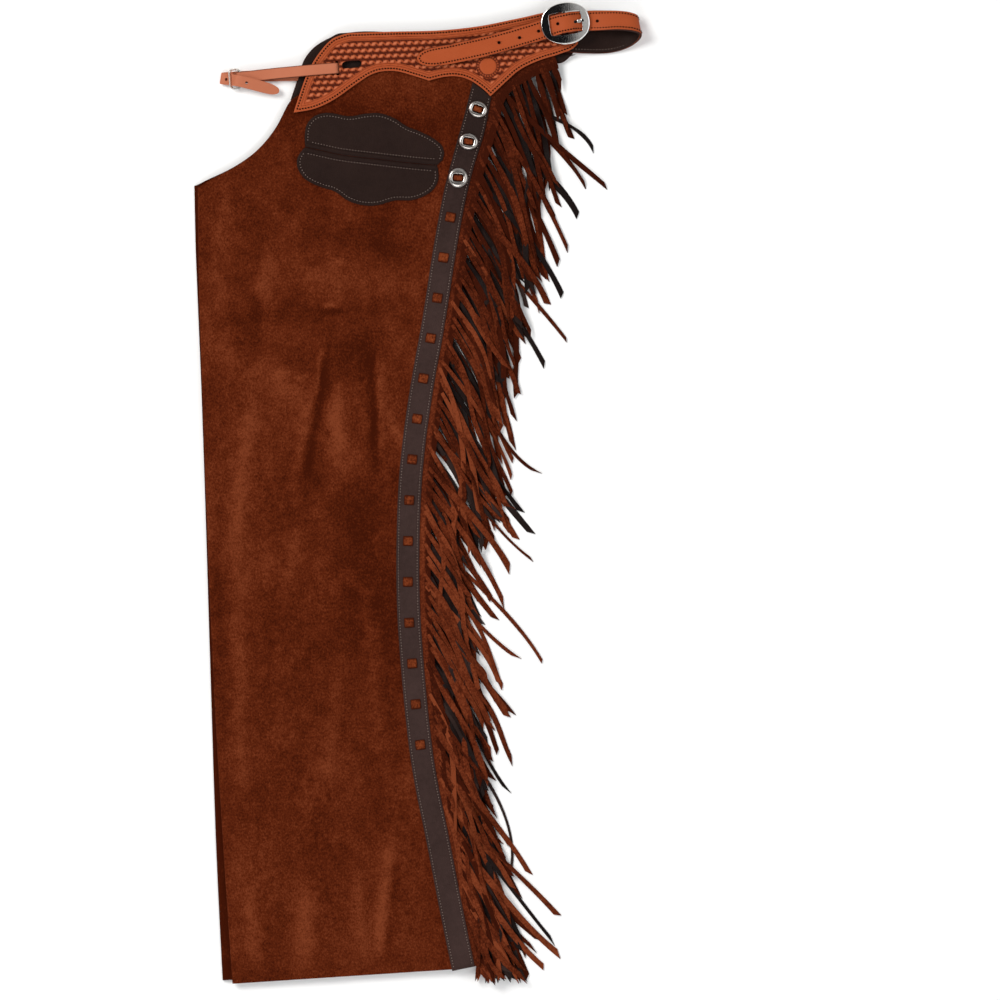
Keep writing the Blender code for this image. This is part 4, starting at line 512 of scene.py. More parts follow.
def edge_distance(points, loops):
    """How far each flat point lies from the nearest of the outlines, and on the inside or not."""
    nearest = np.full(len(points), 1e9)
    inside = np.zeros(len(points), dtype=bool)
    for loop in loops:
        for a, b in zip(loop, np.roll(loop, -1, axis=0)):
            ahead = b - a
            share = np.clip(((points - a) @ ahead) / max(ahead @ ahead, 1e-12), 0, 1)
            nearest = np.minimum(nearest, np.linalg.norm(points - a - share[:, None] * ahead, axis=1))
            if a[1] != b[1]:
                crosses = (a[1] > points[:, 1]) != (b[1] > points[:, 1])
                inside ^= crosses & (points[:, 0] < a[0] + (points[:, 1] - a[1]) * ahead[0] / ahead[1])
    return nearest, inside


def flat_triangles(points, loops):
    """Triangles between flat points, inside the first outline and outside the others."""
    edges, start = [], 0
    for loop in loops:
        edges += [(start + k, start + (k + 1) % len(loop)) for k in range(len(loop))]
        start += len(loop)
    done = delaunay_2d_cdt([Vector(point) for point in points.tolist()], edges, [], 0, 1e-6)
    spots, triangles = np.array([tuple(spot) for spot in done[0]]), np.array(done[2])
    middles = spots[triangles].mean(axis=1)
    return spots, triangles[edge_distance(middles, loops)[1]]


def mesh_of(name, points, faces, outward=False):
    """A mesh of points in millimetres.  Outward turns its faces out where they aren't yet."""
    mesh = bpy.data.meshes.new(name)
    mesh.from_pydata((np.array(points) * MM).tolist(), [], faces)
    if outward:
        shape = bmesh.new()
        shape.from_mesh(mesh)
        bmesh.ops.recalc_face_normals(shape, faces=shape.faces)
        shape.to_mesh(mesh)
        shape.free()
    return mesh


def cut_piece(name, node, above, spacing, materials, carve, side=1, marks=()):
    """A cut piece with one finely worked face: carve(x, y, edge) says how deep it is worked, and marks
    name what else is painted on it.  The face nearest the point above is the worked one; side is -1
    where that face looks down."""
    rims = face_rims(node, above)
    loops = [smooth_loop(points[:, :2], max(spacing, LEAST_STEP))[0] for points, _ in rims]
    steps = [np.arange(loops[0][:, k].min(), loops[0][:, k].max(), spacing) for k in (0, 1)]
    grid = np.stack(np.meshgrid(*steps), axis=-1).reshape(-1, 2)
    distance, inside = edge_distance(grid, loops)
    grid = grid[inside & (distance > EDGE_ROUND + spacing * FIELD_CLEAR)]
    rings = []
    for loop in loops:
        ahead = np.roll(loop, -1, axis=0) - np.roll(loop, 1, axis=0)
        aside = unit(np.stack([-ahead[:, 1], ahead[:, 0]], axis=1))
        rings += [loop + aside * (EDGE_ROUND * share) * side for share in RIM_ROWS]
    rings = np.vstack(rings)
    distance, inside = edge_distance(rings, loops)
    rings = rings[inside & (distance > EDGE_ROUND * RIM_CLEAR)]
    spots, worked = flat_triangles(np.vstack([*loops, rings, grid]), loops)
    plain_spots, plain = flat_triangles(np.vstack(loops), loops)
    body = tree_of(node)

    def levels(flat, way):
        """Height of the cut piece's upper face (way 1) or under face (way -1) over flat points."""
        found = []
        for x, y in flat:
            hit = body.ray_cast(Vector((x * MM, y * MM, way)), Vector((0, 0, -way)))[0]
            if hit is None:
                hit = body.find_nearest(Vector((x * MM, y * MM, way * 0.02)))[0]
            found.append(hit.z / MM)
        return np.array(found)

    distance, _ = edge_distance(spots, loops)
    outer, _ = edge_distance(spots, loops[:1])
    rounding = EDGE_DROP * np.clip(1 - distance / EDGE_ROUND, 0, 1) ** 2
    depth = carve(*spots.T, outer)
    face = levels(spots, side) - side * (rounding + depth)
    back = levels(plain_spots, -side)
    points = np.vstack([np.column_stack([spots, face]), np.column_stack([plain_spots, back])])
    shift = len(spots)
    faces = [list(t) if side > 0 else list(t[::-1]) for t in worked.tolist()]
    faces += [[k + shift for k in (t[::-1] if side > 0 else t)] for t in plain.tolist()]
    count, start, edges = len(faces), 0, []
    for loop in loops:
        for k in range(len(loop)):
            a, b = start + k, start + (k + 1) % len(loop)
            edges.append([a, b, b + shift, a + shift] if side < 0 else [b, a, a + shift, b + shift])
        start += len(loop)
    mesh = mesh_of(name, points, faces + edges, outward=True)
    item = show(name, mesh, materials)
    index = np.zeros(len(mesh.polygons), dtype=np.int32)
    index[len(worked):] = len(materials) - 2
    index[count:] = len(materials) - 1
    mesh.polygons.foreach_set("material_index", index)
    plain_back = np.zeros(len(plain_spots))
    # the recess darkens the tan pieces as antique dressing, and the dark pieces as painted shade in their
    # stitch grooves
    paint(item, "recess", np.concatenate([np.clip(depth / FIELD_DEPTH, 0, 1), plain_back]))
    for key, strength in marks:
        paint(item, key, np.concatenate([strength(*spots.T, outer), plain_back]))
    area = abs(sum(a[0] * b[1] - b[0] * a[1] for a, b in zip(loops[0], np.roll(loops[0], -1, axis=0)))) / 2
    size = np.ptp(loops[0], axis=0) * MM
    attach(item, "root")
    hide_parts(node)
    return item, rims, size, area * MM * MM


def oval(x, y, long, wide, turn):
    """A soft raised oval: 1 on its middle and 0 from its edge outwards."""
    c, s = math.cos(math.radians(turn)), math.sin(math.radians(turn))
    reach = ((x * c + y * s) / long) ** 2 + ((y * c - x * s) / wide) ** 2
    return np.clip(1 - reach, 0, 1) ** BLUNT


def basketweave(x, y):
    """Height of the stamped weave, 0 in its deepest corners and 1 on its straps."""
    c, s = math.cos(math.radians(WEAVE["turn"])), math.sin(math.radians(WEAVE["turn"]))
    u, v = x * c + y * s, y * c - x * s
    high = np.zeros_like(u)
    for shift in (0.0, 0.5):
        du = (u / WEAVE["along"] + shift + 0.5) % 1.0 - 0.5
        dv = (v / WEAVE["across"] / 2 + shift + 0.5) % 1.0 - 0.5
        high = np.maximum(high, oval(du * WEAVE["along"], dv * WEAVE["across"] * 2, **STRAP_END))
        du = (u / WEAVE["along"] + shift) % 1.0 - 0.5
        for tuck in (0.0, 0.5):
            dw = (v / WEAVE["across"] / 2 + shift + 0.5 + tuck) % 1.0 - 0.5
            bar = oval(du * WEAVE["along"], dw * WEAVE["across"] * 2, **CROSS_BAR)
            high = np.maximum(high, TUCKED * bar)
    return high


def tooling(x, y, edge):
    """Depth of the tooled face below the smooth border."""
    field = rise(edge, FIELD_EDGE - FIELD_WALL[0], FIELD_EDGE + FIELD_WALL[1])
    depth = field * FIELD_DEPTH * (1 - basketweave(x, y))
    for line, deep, wide in TOOLED_LINES:
        depth = np.maximum(depth, deep * np.exp(-((edge - line) / wide) ** 2))
    dx, dy = x - STAMP["x"], y - STAMP["y"]
    reach, radius = np.hypot(dx, dy), STAMP["radius"]
    bead = (1 + np.cos(np.arctan2(dy, dx) * STAMP["beads"])) / 2
    middle = (radius + STAMP["rope"]) / 2
    rope = bead * np.clip(1 - ((reach - middle) / STAMP_FACE["rope_half"]) ** 2, 0, 1)
    ring = FIELD_DEPTH * (1 - STAMP_FACE["rope_high"] * rope)
    button = STAMP_FACE["deep"] + STAMP_FACE["rim"] * rise(reach, radius - STAMP_FACE["rim_wide"], radius)
    stamp = np.where(reach < radius, button, ring)
    return np.where(reach < STAMP["rope"] + STAMP_FACE["groove"], stamp, depth)


def raised(x, y, edge):
    """Where the weave's straps are painted lighter: handling has wiped the dressing off them, and painted
    highlight lies on their tops.
    """
    stamp = np.hypot(x - STAMP["x"], y - STAMP["y"]) < STAMP["rope"]
    return np.where(stamp, 0.0, rise(edge, WORN_AND_HIGHLIT_FROM, WORN_AND_HIGHLIT_TO))


def stitches(name, rows, material, size=STITCH):
    """A run of stitches sunk into the leather along each row: a line of points with their normals."""
    rings, corners = STITCH_RINGS, STITCH_CORNERS
    capsule = []
    for k in range(rings):
        along = -1 + 2 * k / (rings - 1)
        girth = (1 - along ** 4) ** 0.5 * (1 - STITCH_END) + STITCH_END
        for j in range(corners):
            angle = 2 * math.pi * j / corners
            lift = STITCH_PROUD - STITCH_DIVE * along ** 2
            capsule.append((along * size["long"] / 2, math.cos(angle) * girth * size["radius"],
                            (math.sin(angle) * girth + lift) * size["radius"]))
    capsule = np.array(capsule)
    wrap = [[k * corners + j, k * corners + (j + 1) % corners, (k + 1) * corners + (j + 1) % corners,
             (k + 1) * corners + j] for k in range(rings - 1) for j in range(corners)]
    wrap += [list(range(corners))[::-1], list(range((rings - 1) * corners, rings * corners))]
    points, faces = [], []
    for line, normals in rows:
        run = lengths(line)
        count = max(1, int(run[-1] / size["pitch"]))
        at = (np.arange(count) + 0.5) * run[-1] / count
        ahead = unit(taken_at(line, run, at + AHEAD) - taken_at(line, run, at - AHEAD))
        across = unit(np.cross(taken_at(normals, run, at), ahead))
        for middle, *axes in zip(taken_at(line, run, at), ahead, across, np.cross(ahead, across)):
            faces += [[k + len(points) for k in face] for face in wrap]
            points += (middle + capsule @ np.array(axes)).tolist()
    item = show(name, mesh_of(name, points, faces), [material])
    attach(item, "root")
    return item


def inset_line(rim, inset, sink=0.0):
    """A line that follows a face's edge at a distance inside it, kept off the face's own corners."""
    points, normals = rim
    line, where = smooth_loop(points, LEAST_STEP)
    turned = np.vstack([normals, normals[:1]])
    up = taken_at(turned, np.arange(len(turned)), where)
    inward = unit(np.cross(up, np.roll(line, -1, axis=0) - np.roll(line, 1, axis=0)))
    moved = line + inward * inset - up * sink
    gap = np.array([np.linalg.norm(line - point, axis=1).min() for point in moved])
    kept = gap > inset * CLEAR_OF_CORNER
    return np.vstack([moved[kept], moved[kept][:1]]), np.vstack([up[kept], up[kept][:1]])


def kept_runs(row, keep):
    """The stretches of a closed row where keep holds, each as a row of its own."""
    line, normals = row
    runs, run = [], []
    for k in np.roll(np.arange(len(line) - 1), -int(np.argmin(keep[:-1]))):
        if keep[k]:
            run.append(k)
        elif run:
            runs.append(run)
            run = []
    return [(line[run], normals[run]) for run in [*runs, run] if len(run) > 3]


def thread(name, colour):
    """Waxed linen thread."""
    finish = Finish(name, Roughness=0.9, Specular_IOR_Level=0.03)
    twist = finish.cloud(2600.0, 2.0, 0.5)
    finish.shade("Base Color", finish.blend(twist, [part * 0.55 for part in colour], colour))
    finish.relief(twist, 0.0002)
    return finish.material


tooled_tan = tan_leather("tooled_tan")
plain_tan = tan_leather("plain_tan")
tan_edge = burnished("tan_edge", (0.060, 0.013, 0.005))
yoke_back = burnished("yoke_back", (0.046, 0.0095, 0.0080))
dark_thread = thread("dark_thread", (0.014, 0.005, 0.0035))
left_yoke, left_rims, left_size, left_area = cut_piece(
    "left_yoke_tooled", "left_yoke", (0, 470, 40), YOKE_SPACING, [tooled_tan, yoke_back, tan_edge], tooling,
    marks=[("worn", raised)])
yoke_row = inset_line(left_rims[0], STITCH_GROOVE)
yoke_stitches = stitches("yoke_stitches", [yoke_row], dark_thread)
right_yoke, _, right_size, right_area = cut_piece(
    "right_yoke_tooled", "right_yoke", (0, 470, -40), HIDDEN_SPACING, [tooled_tan, yoke_back, yoke_back],
    tooling, side=-1, marks=[("worn", raised)])

# ---- Smooth dark pieces: trim strips, pocket and the right yoke's lining -------------------------------
# Soft 1.2 mm chrome-tanned leather, almost black brown, laid on the suede and sewn along its edges with
# a grey thread.  The pocket is two pieces that meet at its mouth.
DARK_BODY, DARK_LIGHT = (0.0105, 0.0047, 0.0036), (0.025, 0.0125, 0.0095)
TRIM_BODY, TRIM_LIGHT = (0.0180, 0.0092, 0.0075), (0.052, 0.029, 0.0255)
SEAM_INSET, SEAM_SINK = 2.3, 0.15
PULLED_DOWN = {"deep": 0.22, "wide": 1.1}           # the leather beside a row of stitches
TRIM_SHEEN = {"light": 0.35, "top": 1.3, "from": 230, "to": 400}     # painted sheen: the trim is painted lighter, and darker towards its top
POCKET_MOUTH = [(-120.3, 370.0), (-101.5, 365.8), (-83.5, 362.0), (-40.7, 356.7), (-3.2, 352.5),
                (20.6, 350.5)]
POCKET_ROWS, POCKET_SINK = {"round": 3.4, "mouth": 6.2}, 0.1        # how far in the pocket's stitches lie
MOUTH_FOLD = {"at": 2.9, "wide": 1.1, "high": 0.7}   # the turned edge along each side of the mouth
MOUTH_CREASE = {"at": 5.0, "wide": 0.6, "high": -0.45}
BESIDE_MOUTH = {"round": 0.9, "mouth": 1.1}          # where each row ends, in distances of the mouth's row
RUNS_ALONG = 0.85                  # share of its length that a strip's long edge climbs
GREY_STITCH = {"pitch": 3.1, "long": 1.35, "radius": 0.45}
DARK_SPACING, COVERED_SPACING = 1.1, 3.0
LEAST_SHARE = 0.301                # of its box, the least area worked out for a sheet


def dark_leather(name, body=DARK_BODY, light=DARK_LIGHT):
    """Soft dark leather with a fine pebbled grain and a dull shine, and painted shade where it is pulled
    down.
    """
    finish = Finish(name, Specular_IOR_Level=0.06)
    cloud = finish.cloud(16.0, 4.0, 0.6)
    pebble = finish.node("TexVoronoi", {"feature": "SMOOTH_F1"},
                         {"Vector": finish.place(), "Scale": 820.0, "Smoothness": 0.6}, "Distance")
    wrinkle = finish.cloud(240.0, 4.0, 0.65)
    tone = 0.4 + (cloud - 0.5) * 1.0 + (wrinkle - 0.5) * 0.6
    # painted shade: darker where stitches pull the leather down and along the lining's edges; the painted
    # tone holds the trim's painted sheen and the fringe's painted shade
    tone = (tone + finish.painted("tone") * 0.5 - finish.painted("recess") * 0.8).within()
    finish.shade("Base Color", finish.blend(tone, body, light))
    finish.shade("Roughness", (0.5 + (wrinkle - 0.5) * 0.3 + (cloud - 0.5) * 0.2).within())
    finish.relief(pebble * 0.7 + wrinkle * 0.3, 0.0004)
    return finish.material


def pulled_down(edge, inset):
    """How deep the stitches at an inset pull the leather down, at some distance from its edge."""
    return PULLED_DOWN["deep"] * np.exp(-((edge - inset) / PULLED_DOWN["wide"]) ** 2)


def sewn_face(x, y, edge):
    """The face of a piece sewn down along its edges."""
    return pulled_down(edge, SEAM_INSET)


def trim_sheen(x, y, edge):
    """How light the trim strip is painted, as painted sheen, darker towards its top."""
    return TRIM_SHEEN["light"] - TRIM_SHEEN["top"] * rise(y, TRIM_SHEEN["from"], TRIM_SHEEN["to"])


def mouth_distance(x, y):
    """How far points lie from the line where the pocket's two pieces meet."""
    return edge_distance(np.column_stack([x, y]), [np.array(POCKET_MOUTH + POCKET_MOUTH[-2:0:-1])])[0]


def pocket_face(x, y, edge):
    """The pocket's face: pulled down at its stitches, its edges turned and folded along the mouth."""
    away = mouth_distance(x, y)
    depth = pulled_down(edge, POCKET_ROWS["round"]) * (away > POCKET_ROWS["mouth"])
    for fold in (MOUTH_CREASE, MOUTH_FOLD):
        depth -= fold["high"] * np.exp(-((away - fold["at"]) / fold["wide"]) ** 2)
    return depth


def long_edges(row):
    """The parts of a strip's row of stitches that run along it, not across its ends."""
    ahead = np.gradient(row[0], axis=0)
    return kept_runs(row, np.abs(ahead[:, 1]) > RUNS_ALONG * np.linalg.norm(ahead, axis=1))


def pocket_rows(rim):
    """A row round the pocket piece, and a second one along its side of the mouth."""
    around, along = (inset_line(rim, POCKET_ROWS[key], sink=POCKET_SINK) for key in ("round", "mouth"))
    limit = {key: POCKET_ROWS["mouth"] * share for key, share in BESIDE_MOUTH.items()}
    rows = kept_runs(around, mouth_distance(*around[0][:, :2].T) > limit["round"])
    return rows + kept_runs(along, mouth_distance(*along[0][:, :2].T) < limit["mouth"])


def lay_sheet(piece, size, area, under, **more):
    """The area of a cut piece's outline, held to at least a share of its box; nothing is laid, kept or
    returned.
    """
    area = max(area, LEAST_SHARE * size[0] * size[1])


dark = dark_leather("dark_leather")
trim_dark = dark_leather("trim_leather", TRIM_BODY, TRIM_LIGHT)
dark_edge = burnished("dark_edge", (0.020, 0.009, 0.007))
grey_thread = thread("grey_thread", (0.27, 0.20, 0.17))
for node, above, material, face in (("left_trim", (-9, 0, 60), trim_dark, sewn_face),
                                    ("pocket_upper", (-60, 380, 60), dark, pocket_face),
                                    ("pocket_lower", (-60, 335, 60), dark, pocket_face)):
    marks = [("tone", trim_sheen)] if node == "left_trim" else ()
    piece, rims, size, area = cut_piece(f"{node}_leather", node, above, DARK_SPACING,
                                        [material, dark_edge], face, marks=marks)
    if node == "left_trim":
        rows = long_edges(inset_line(rims[0], SEAM_INSET, sink=SEAM_SINK))
    else:
        rows = pocket_rows(rims[0])
    seam = stitches(f"{node}_stitches", rows, grey_thread, GREY_STITCH)
    lay_sheet(piece, size, area, "left_leg_suede", with_pieces=[seam])
for node, above, side in (("right_trim", (-9, 0, -60), -1), ("right_yoke_lining", (-115, 470, 60), 1)):
    piece, _, size, area = cut_piece(f"{node}_leather", node, above, COVERED_SPACING, [dark, dark_edge],
                                     sewn_face, side=side)
    lay_sheet(piece, size, area, "floor")

# ---- Lace and conchos ----------------------------------------------------------------------------------
# A suede lace runs in and out of the trim strip and shows as fourteen small squares.  Above them three
# domed nickel conchos are held by a lace through their slots.
NICKEL, BRUSHED, WIRE = (0.78, 0.76, 0.73), (0.50, 0.46, 0.43), (0.90, 0.86, 0.80)
LACE_CELLS = 10                    # along each side of a square
LACE_THICK = 0.5
SOLID_TOP = 0.78                   # the cut square's top beside its foot
LACE_WAIST, LACE_END = 0.05, 0.03  # how far its sides and its ends draw in
LACE_ROUND = {"ends": 5, "sides": 6, "side_drop": 0.35, "foot": 0.09}       # powers of its rounded edges
LACE_SHADE = {"ends": -3.0, "ends_to": 6, "sides": -1.5, "sides_to": 10}    # dark towards its edges


def bright_metal(name, colour, roughness):
    """Polished nickel with fine scratches."""
    finish = Finish(name, Metallic=1.0)
    haze = finish.cloud(90.0, 4.0, 0.7)
    scratch = finish.cloud(900.0, 3.0, 0.7, finish.place((1.0, 0.06, 1.0), 0.7))
    finish.shade("Base Color", finish.blend(haze, colour, [part * 0.82 for part in colour]))
    finish.shade("Roughness", (roughness + (scratch - 0.5) * 0.14 + (haze - 0.5) * 0.08).within())
    finish.relief(scratch, 0.00004)
    return finish.material


def lace_pillow(points, faces, tones, node):
    """One square of lace: it comes out of a slit, lies over the strip and goes down into the next one."""
    shape = working_copy(nodes[node])
    top = max(shape.faces, key=lambda face: face.normal.z * face.calc_area())
    corners = [np.array(loop.vert.co) / MM for loop in top.loops]
    middle = sum(corners) / 4
    along, aside = (corners[1] - corners[0]) / 2 / SOLID_TOP, (corners[3] - corners[0]) / 2 / SOLID_TOP
    low = min(vertex.co.z for vertex in shape.verts) / MM
    high = middle[2] - low
    shape.free()
    base, steps = len(points), np.linspace(-1, 1, LACE_CELLS + 1)
    for u in steps:
        for v in steps:
            puff = 1 - LACE_ROUND["side_drop"] * abs(u) ** LACE_ROUND["sides"]
            puff = (1 - abs(v) ** LACE_ROUND["ends"]) * puff
            spot = middle + along * u * (1 - LACE_WAIST * v * v) + aside * v * (1 - LACE_END * u * u)
            points.append((spot[0], spot[1], low + high * (LACE_ROUND["foot"] + puff)))
            # painted shadow, darker towards its edges where it dips into the slits
            tones.append(LACE_SHADE["ends"] * abs(v) ** LACE_SHADE["ends_to"]
                         + LACE_SHADE["sides"] * abs(u) ** LACE_SHADE["sides_to"])
    for row in range(LACE_CELLS):
        for column in range(LACE_CELLS):
            a = base + row * (LACE_CELLS + 1) + column
            faces.append([a, a + LACE_CELLS + 1, a + LACE_CELLS + 2, a + 1])


lace_suede = suede("lace_suede", dark=(0.05, 0.009, 0.003), body=(0.145, 0.028, 0.008),
                   light=(0.24, 0.062, 0.020))
lace_names = [name for name in sorted(nodes) if "lace_" in name]
points, faces, tones = [], [], []
for name in lace_names:
    lace_pillow(points, faces, tones, name)
lace = show("lace", mesh_of("lace", points, faces), [lace_suede])
# the lace's painted shadow towards its edges
paint(lace, "rubbed", tones)
solid = lace.modifiers.new("thickness", "SOLIDIFY")
solid.thickness = LACE_THICK * MM
solid.offset = -1.0
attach(lace, "root")
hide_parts(*lace_names)
nickel = bright_metal("nickel", NICKEL, roughness=0.10)
brushed_nickel = bright_metal("brushed_nickel", BRUSHED, roughness=0.25)
wire_nickel = bright_metal("wire_nickel", WIRE, roughness=0.28)
for number in (1, 2, 3):
    concho = refined(f"concho_{number}", f"concho_{number}_domed", [brushed_nickel], levels=3, crease=0.9)
    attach(concho, "root")
    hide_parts(f"concho_{number}")

# ---- Fringe ----------------------------------------------------------------------------------------------
# Beyond the outer seam each hide and each smooth leather under it is cut into strands, at a slant, so that
# they fall outwards and over each other.  Each strand is 5 to 7 mm wide with a slanting end.
SEAM_POINTS = [
    (48.7, -507.9), (38.0, -456.6), (21.4, -371.0), (4.8, -285.4), (-8.0, -157.0), (-10.7, -92.8),
    (-8.0, 14.2), (2.1, 99.8), (17.1, 185.4), (30.5, 271.0), (43.3, 335.2), (61.0, 395.2), (70.6, 429.4),
    (80.5, 444.5), (98.4, 458.5), (119.8, 470.0), (143.4, 477.5),
]
# How the strands leave the leg, by height along the seam: lean at the root and at the tip, and length.
FRINGE_LEAN = table(
    "y root tip long",
    (-510, 58, 64, 32), (-480, 58, 66, 60), (-440, 58, 64, 106), (-390, 58, 62, 142),
    (-300, 58, 66, 160), (-150, 59, 69, 168), (0, 58, 68, 170), (150, 58, 69, 170),
    (300, 59, 71, 168), (400, 62, 76, 156), (450, 68, 78, 138),
)
# How far out the fringe reaches but for its strays: height, and distance from the middle.
FRINGE_REACH = [
    (-521, 126), (-489, 128), (-435, 113), (-382, 94), (-328, 80), (-275, 88), (-221, 89), (-168, 81),
    (-141, 74), (-114, 71), (-87, 68), (-61, 75), (-34, 90), (-7, 96), (46, 96), (100, 100), (153, 106),
    (180, 124), (207, 136), (260, 141), (314, 144), (367, 154), (394, 159), (421, 158), (455, 148),
]
# Strands that lie well outside the rest: height of the root, the tip's place and lean, width and fringe.
STRAYS = table(
    "y tip_x tip_y tip wide layer",
    (448.6, 187.5, 367.8, 66, 5.0, "left_smooth"), (440.0, 200.6, 328.8, 40, 6.0, "left_suede"),
    (436.0, 178.2, 329.9, 60, 6.0, "right_suede"), (430.0, 171.0, 297.0, 65, 8.5, "right_smooth"),
    (405.0, 160.0, 261.4, 66, 5.5, "left_suede"), (385.0, 150.2, 246.4, 68, 7.0, "right_suede"),
    (345.0, 154.3, 211.6, 66, 7.0, "left_smooth"), (318.0, 138.6, 202.5, 68, 7.5, "left_suede"),
    (285.0, 158.8, 164.0, 52, 4.5, "right_suede"), (260.0, 135.2, 137.3, 62, 6.5, "right_smooth"),
    (215.0, 107.0, 107.3, 76, 6.5, "left_suede"), (165.0, 127.1, 22.8, 28, 4.0, "right_suede"),
    (145.0, 99.9, 17.4, 72, 5.0, "left_suede"), (100.0, 110.0, -19.5, 52, 7.0, "left_smooth"),
    (85.0, 121.1, -42.5, 50, 7.5, "right_smooth"), (65.0, 104.9, -48.5, 60, 7.5, "left_suede"),
    (48.0, 121.6, -70.7, 36, 3.5, "right_suede"), (30.0, 98.0, -81.0, 62, 8.0, "left_suede"),
    (8.0, 91.5, -117.4, 66, 6.5, "left_suede"), (-45.0, 132.7, -180.0, 60, 4.5, "right_suede"),
    (-75.0, 104.9, -175.0, 34, 4.5, "left_suede"), (-95.0, 86.7, -203.0, 72, 6.0, "left_suede"),
    (-120.0, 96.3, -235.1, 56, 6.0, "left_suede"), (-185.0, 95.2, -317.5, 52, 4.0, "right_smooth"),
    (-245.0, 99.5, -403.1, 100, 3.5, "left_smooth"), (-275.0, 118.8, -406.3, 60, 6.0, "left_suede"),
    (-330.0, 149.3, -451.2, 48, 6.5, "left_suede"), (-345.0, 143.8, -478.5, 50, 4.5, "left_smooth"),
    (-372.0, 150.7, -493.0, 38, 7.5, "left_suede"), (-392.0, 134.3, -506.8, 40, 7.5, "left_suede"),
    (-400.0, 117.3, -517.5, 66, 7.5, "right_suede"), (-478.0, 74.0, -521.0, 84, 6.0, "right_suede"),
    (-486.0, 79.0, -521.5, 76, 7.0, "right_smooth"),
)
# The four fringes from the floor up: thickness, height of the seam's end, how far out the cuts start, how
# far the strands reach beyond the outline, distance between strands, tone, lower on the fringes underneath
# as painted shade, and seed.
FRINGES = table(
    "layer node thick top_y cut_from reach pitch tone seed",
    ("right_suede", "right_fringe_suede", 1.6, 477.5, (23.0, 24.0), 7.0, 10.5, -0.9, 21),
    ("right_smooth", "right_fringe_smooth", 1.2, 405.0, (23.0, 24.0), -14.0, 12.5, -0.4, 22),
    ("left_smooth", "left_fringe_smooth", 1.2, 477.5, (23.0, 24.0), -13.0, 12.0, 0.0, 23),
    ("left_suede", "left_fringe_suede", 1.6, 477.5, (13.5, 21.0), 4.0, 8.2, 0.0, 24),
)
SEAM_SAMPLES = 500
STRAND_HALF = (2.4, 3.7)           # half a strand's width
TAPER, WAVY = 0.2, {"much": 0.07, "waves": 9}
HANGING = {"share": 0.16, "root": 8, "tip": (82, 98)}      # strands that have swung nearly straight down
CHANCE_LEAN = {"root": 4, "tip": 8, "long": (0.78, 1.12), "bend": 9, "wave": 14, "reach": (-20, 8)}
CLUMP = {"scale": 0.031, "lean": 13.0, "reach": 22.0}      # strands near each other fall alike
CLUMP_SEEDS = {"lean": 0.0, "reach": 7.0}
TURNING = (0.08, 0.7)              # share of its length over which a strand turns down
STEPS = 40                         # along a strand's line before it is cut to length
LEAST_POINTS = 8
STRAY_LEAVES, STRAY_PULL = 50, 0.33
PILE_TOP = 19.0                    # heaped strands press flat: the heap rises no higher than this
ROOT_HALF = 2.0                    # half width beside each other in the hide, before they spread
SPREADS = (0.02, 0.3)              # share of the length over which it does
ROOT_JITTER = 0.25                 # of the distance between strands
PROUD, ROOT_SINK = (0.25, 0.65), 0.2       # how high it lies over the uncut edge, and how deep its root sits
TWISTS, TWIST_AT, TWIST_LONG = (6, 12, 20, 35, 60), (0.35, 0.95), (0.12, 0.3)
TWISTS_FROM = (0.12, 0.35)
TONE_SPREAD = 0.8
BAND = 24.3                        # uncut edge beside the seam
# Its section: distance from the seam, height in thicknesses, and tone, with painted shade where the strands
# lie over it.
BAND_SECTION = [(0.4, 0.0, 0.0), (0.4, 1.0, 0.0), (17.0, 1.0, 0.0), (20.0, 1.0, -2.0), (BAND, 1.0, -2.4),
                (BAND, 0.0, -2.4)]
BAND_PROBE = 8.0                   # from the seam, where the cut fringe's own height is taken
ON_BAND = BAND + 3.0
NEWER_TOP = {"much": 0.9, "from": 120, "to": 400}          # the less worn strands at the top are darker
STATIONS, CLOSER_AT_TIP = 22, 0.9
LOWEST_TIP = -519.0
STEEPEST, ROOT_SLOPE = 0.40, 0.42
LOOSE = 0.15                       # least height over what lies below
BENDS_OVER = 7.0                   # length that the leather takes to bend
FREE_FROM, FREE_AT = 3.0, 14.0     # distance from its cut where a strand begins to leave the band's height
LAID_FROM = 6.0                    # and from where others lie on it
PRESSED = 0.9                      # thickness under the next strand
CURL_SHARE = 0.7                   # of a turned strand's height that the next one lies over
PROBES = np.linspace(-0.9, 0.9, 7)     # across a strand, where it is laid
TIP_SLANT, SLANTS, SLANTS_FROM = 5.5, (0.3, 1.3), (0.8, 1.0)
SECTION = [(-1.0, 0.45), (-0.88, 1.0), (0.88, 1.0), (1.0, 0.45), (0.88, 0.0), (-0.88, 0.0)]
LEAST_Z = 0.05
GROUND_LOW, GROUND_SIZE = np.array([-40.0, -560.0]), (300, 1080)


def sides(line):
    """The direction square to a flat line, to its left, at each of its points."""
    ahead = unit(np.gradient(line, axis=0))
    return np.stack([-ahead[:, 1], ahead[:, 0]], axis=1)


def curve_through(points, count):
    """Evenly spaced points of a smooth open line through the given ones."""
    given = np.array(points, dtype=float)
    closed, where = smooth_loop(np.vstack([given, given[-2:0:-1]]), 2.0, corner=math.radians(60))
    line = np.vstack([closed[where < len(given) - 1], given[-1]])
    return taken_at(line, lengths(line), np.linspace(0, lengths(line)[-1], count))


def toward(angle):
    """The flat direction that leans down by an angle in degrees."""
    return np.array([math.cos(math.radians(angle)), -math.sin(math.radians(angle))])


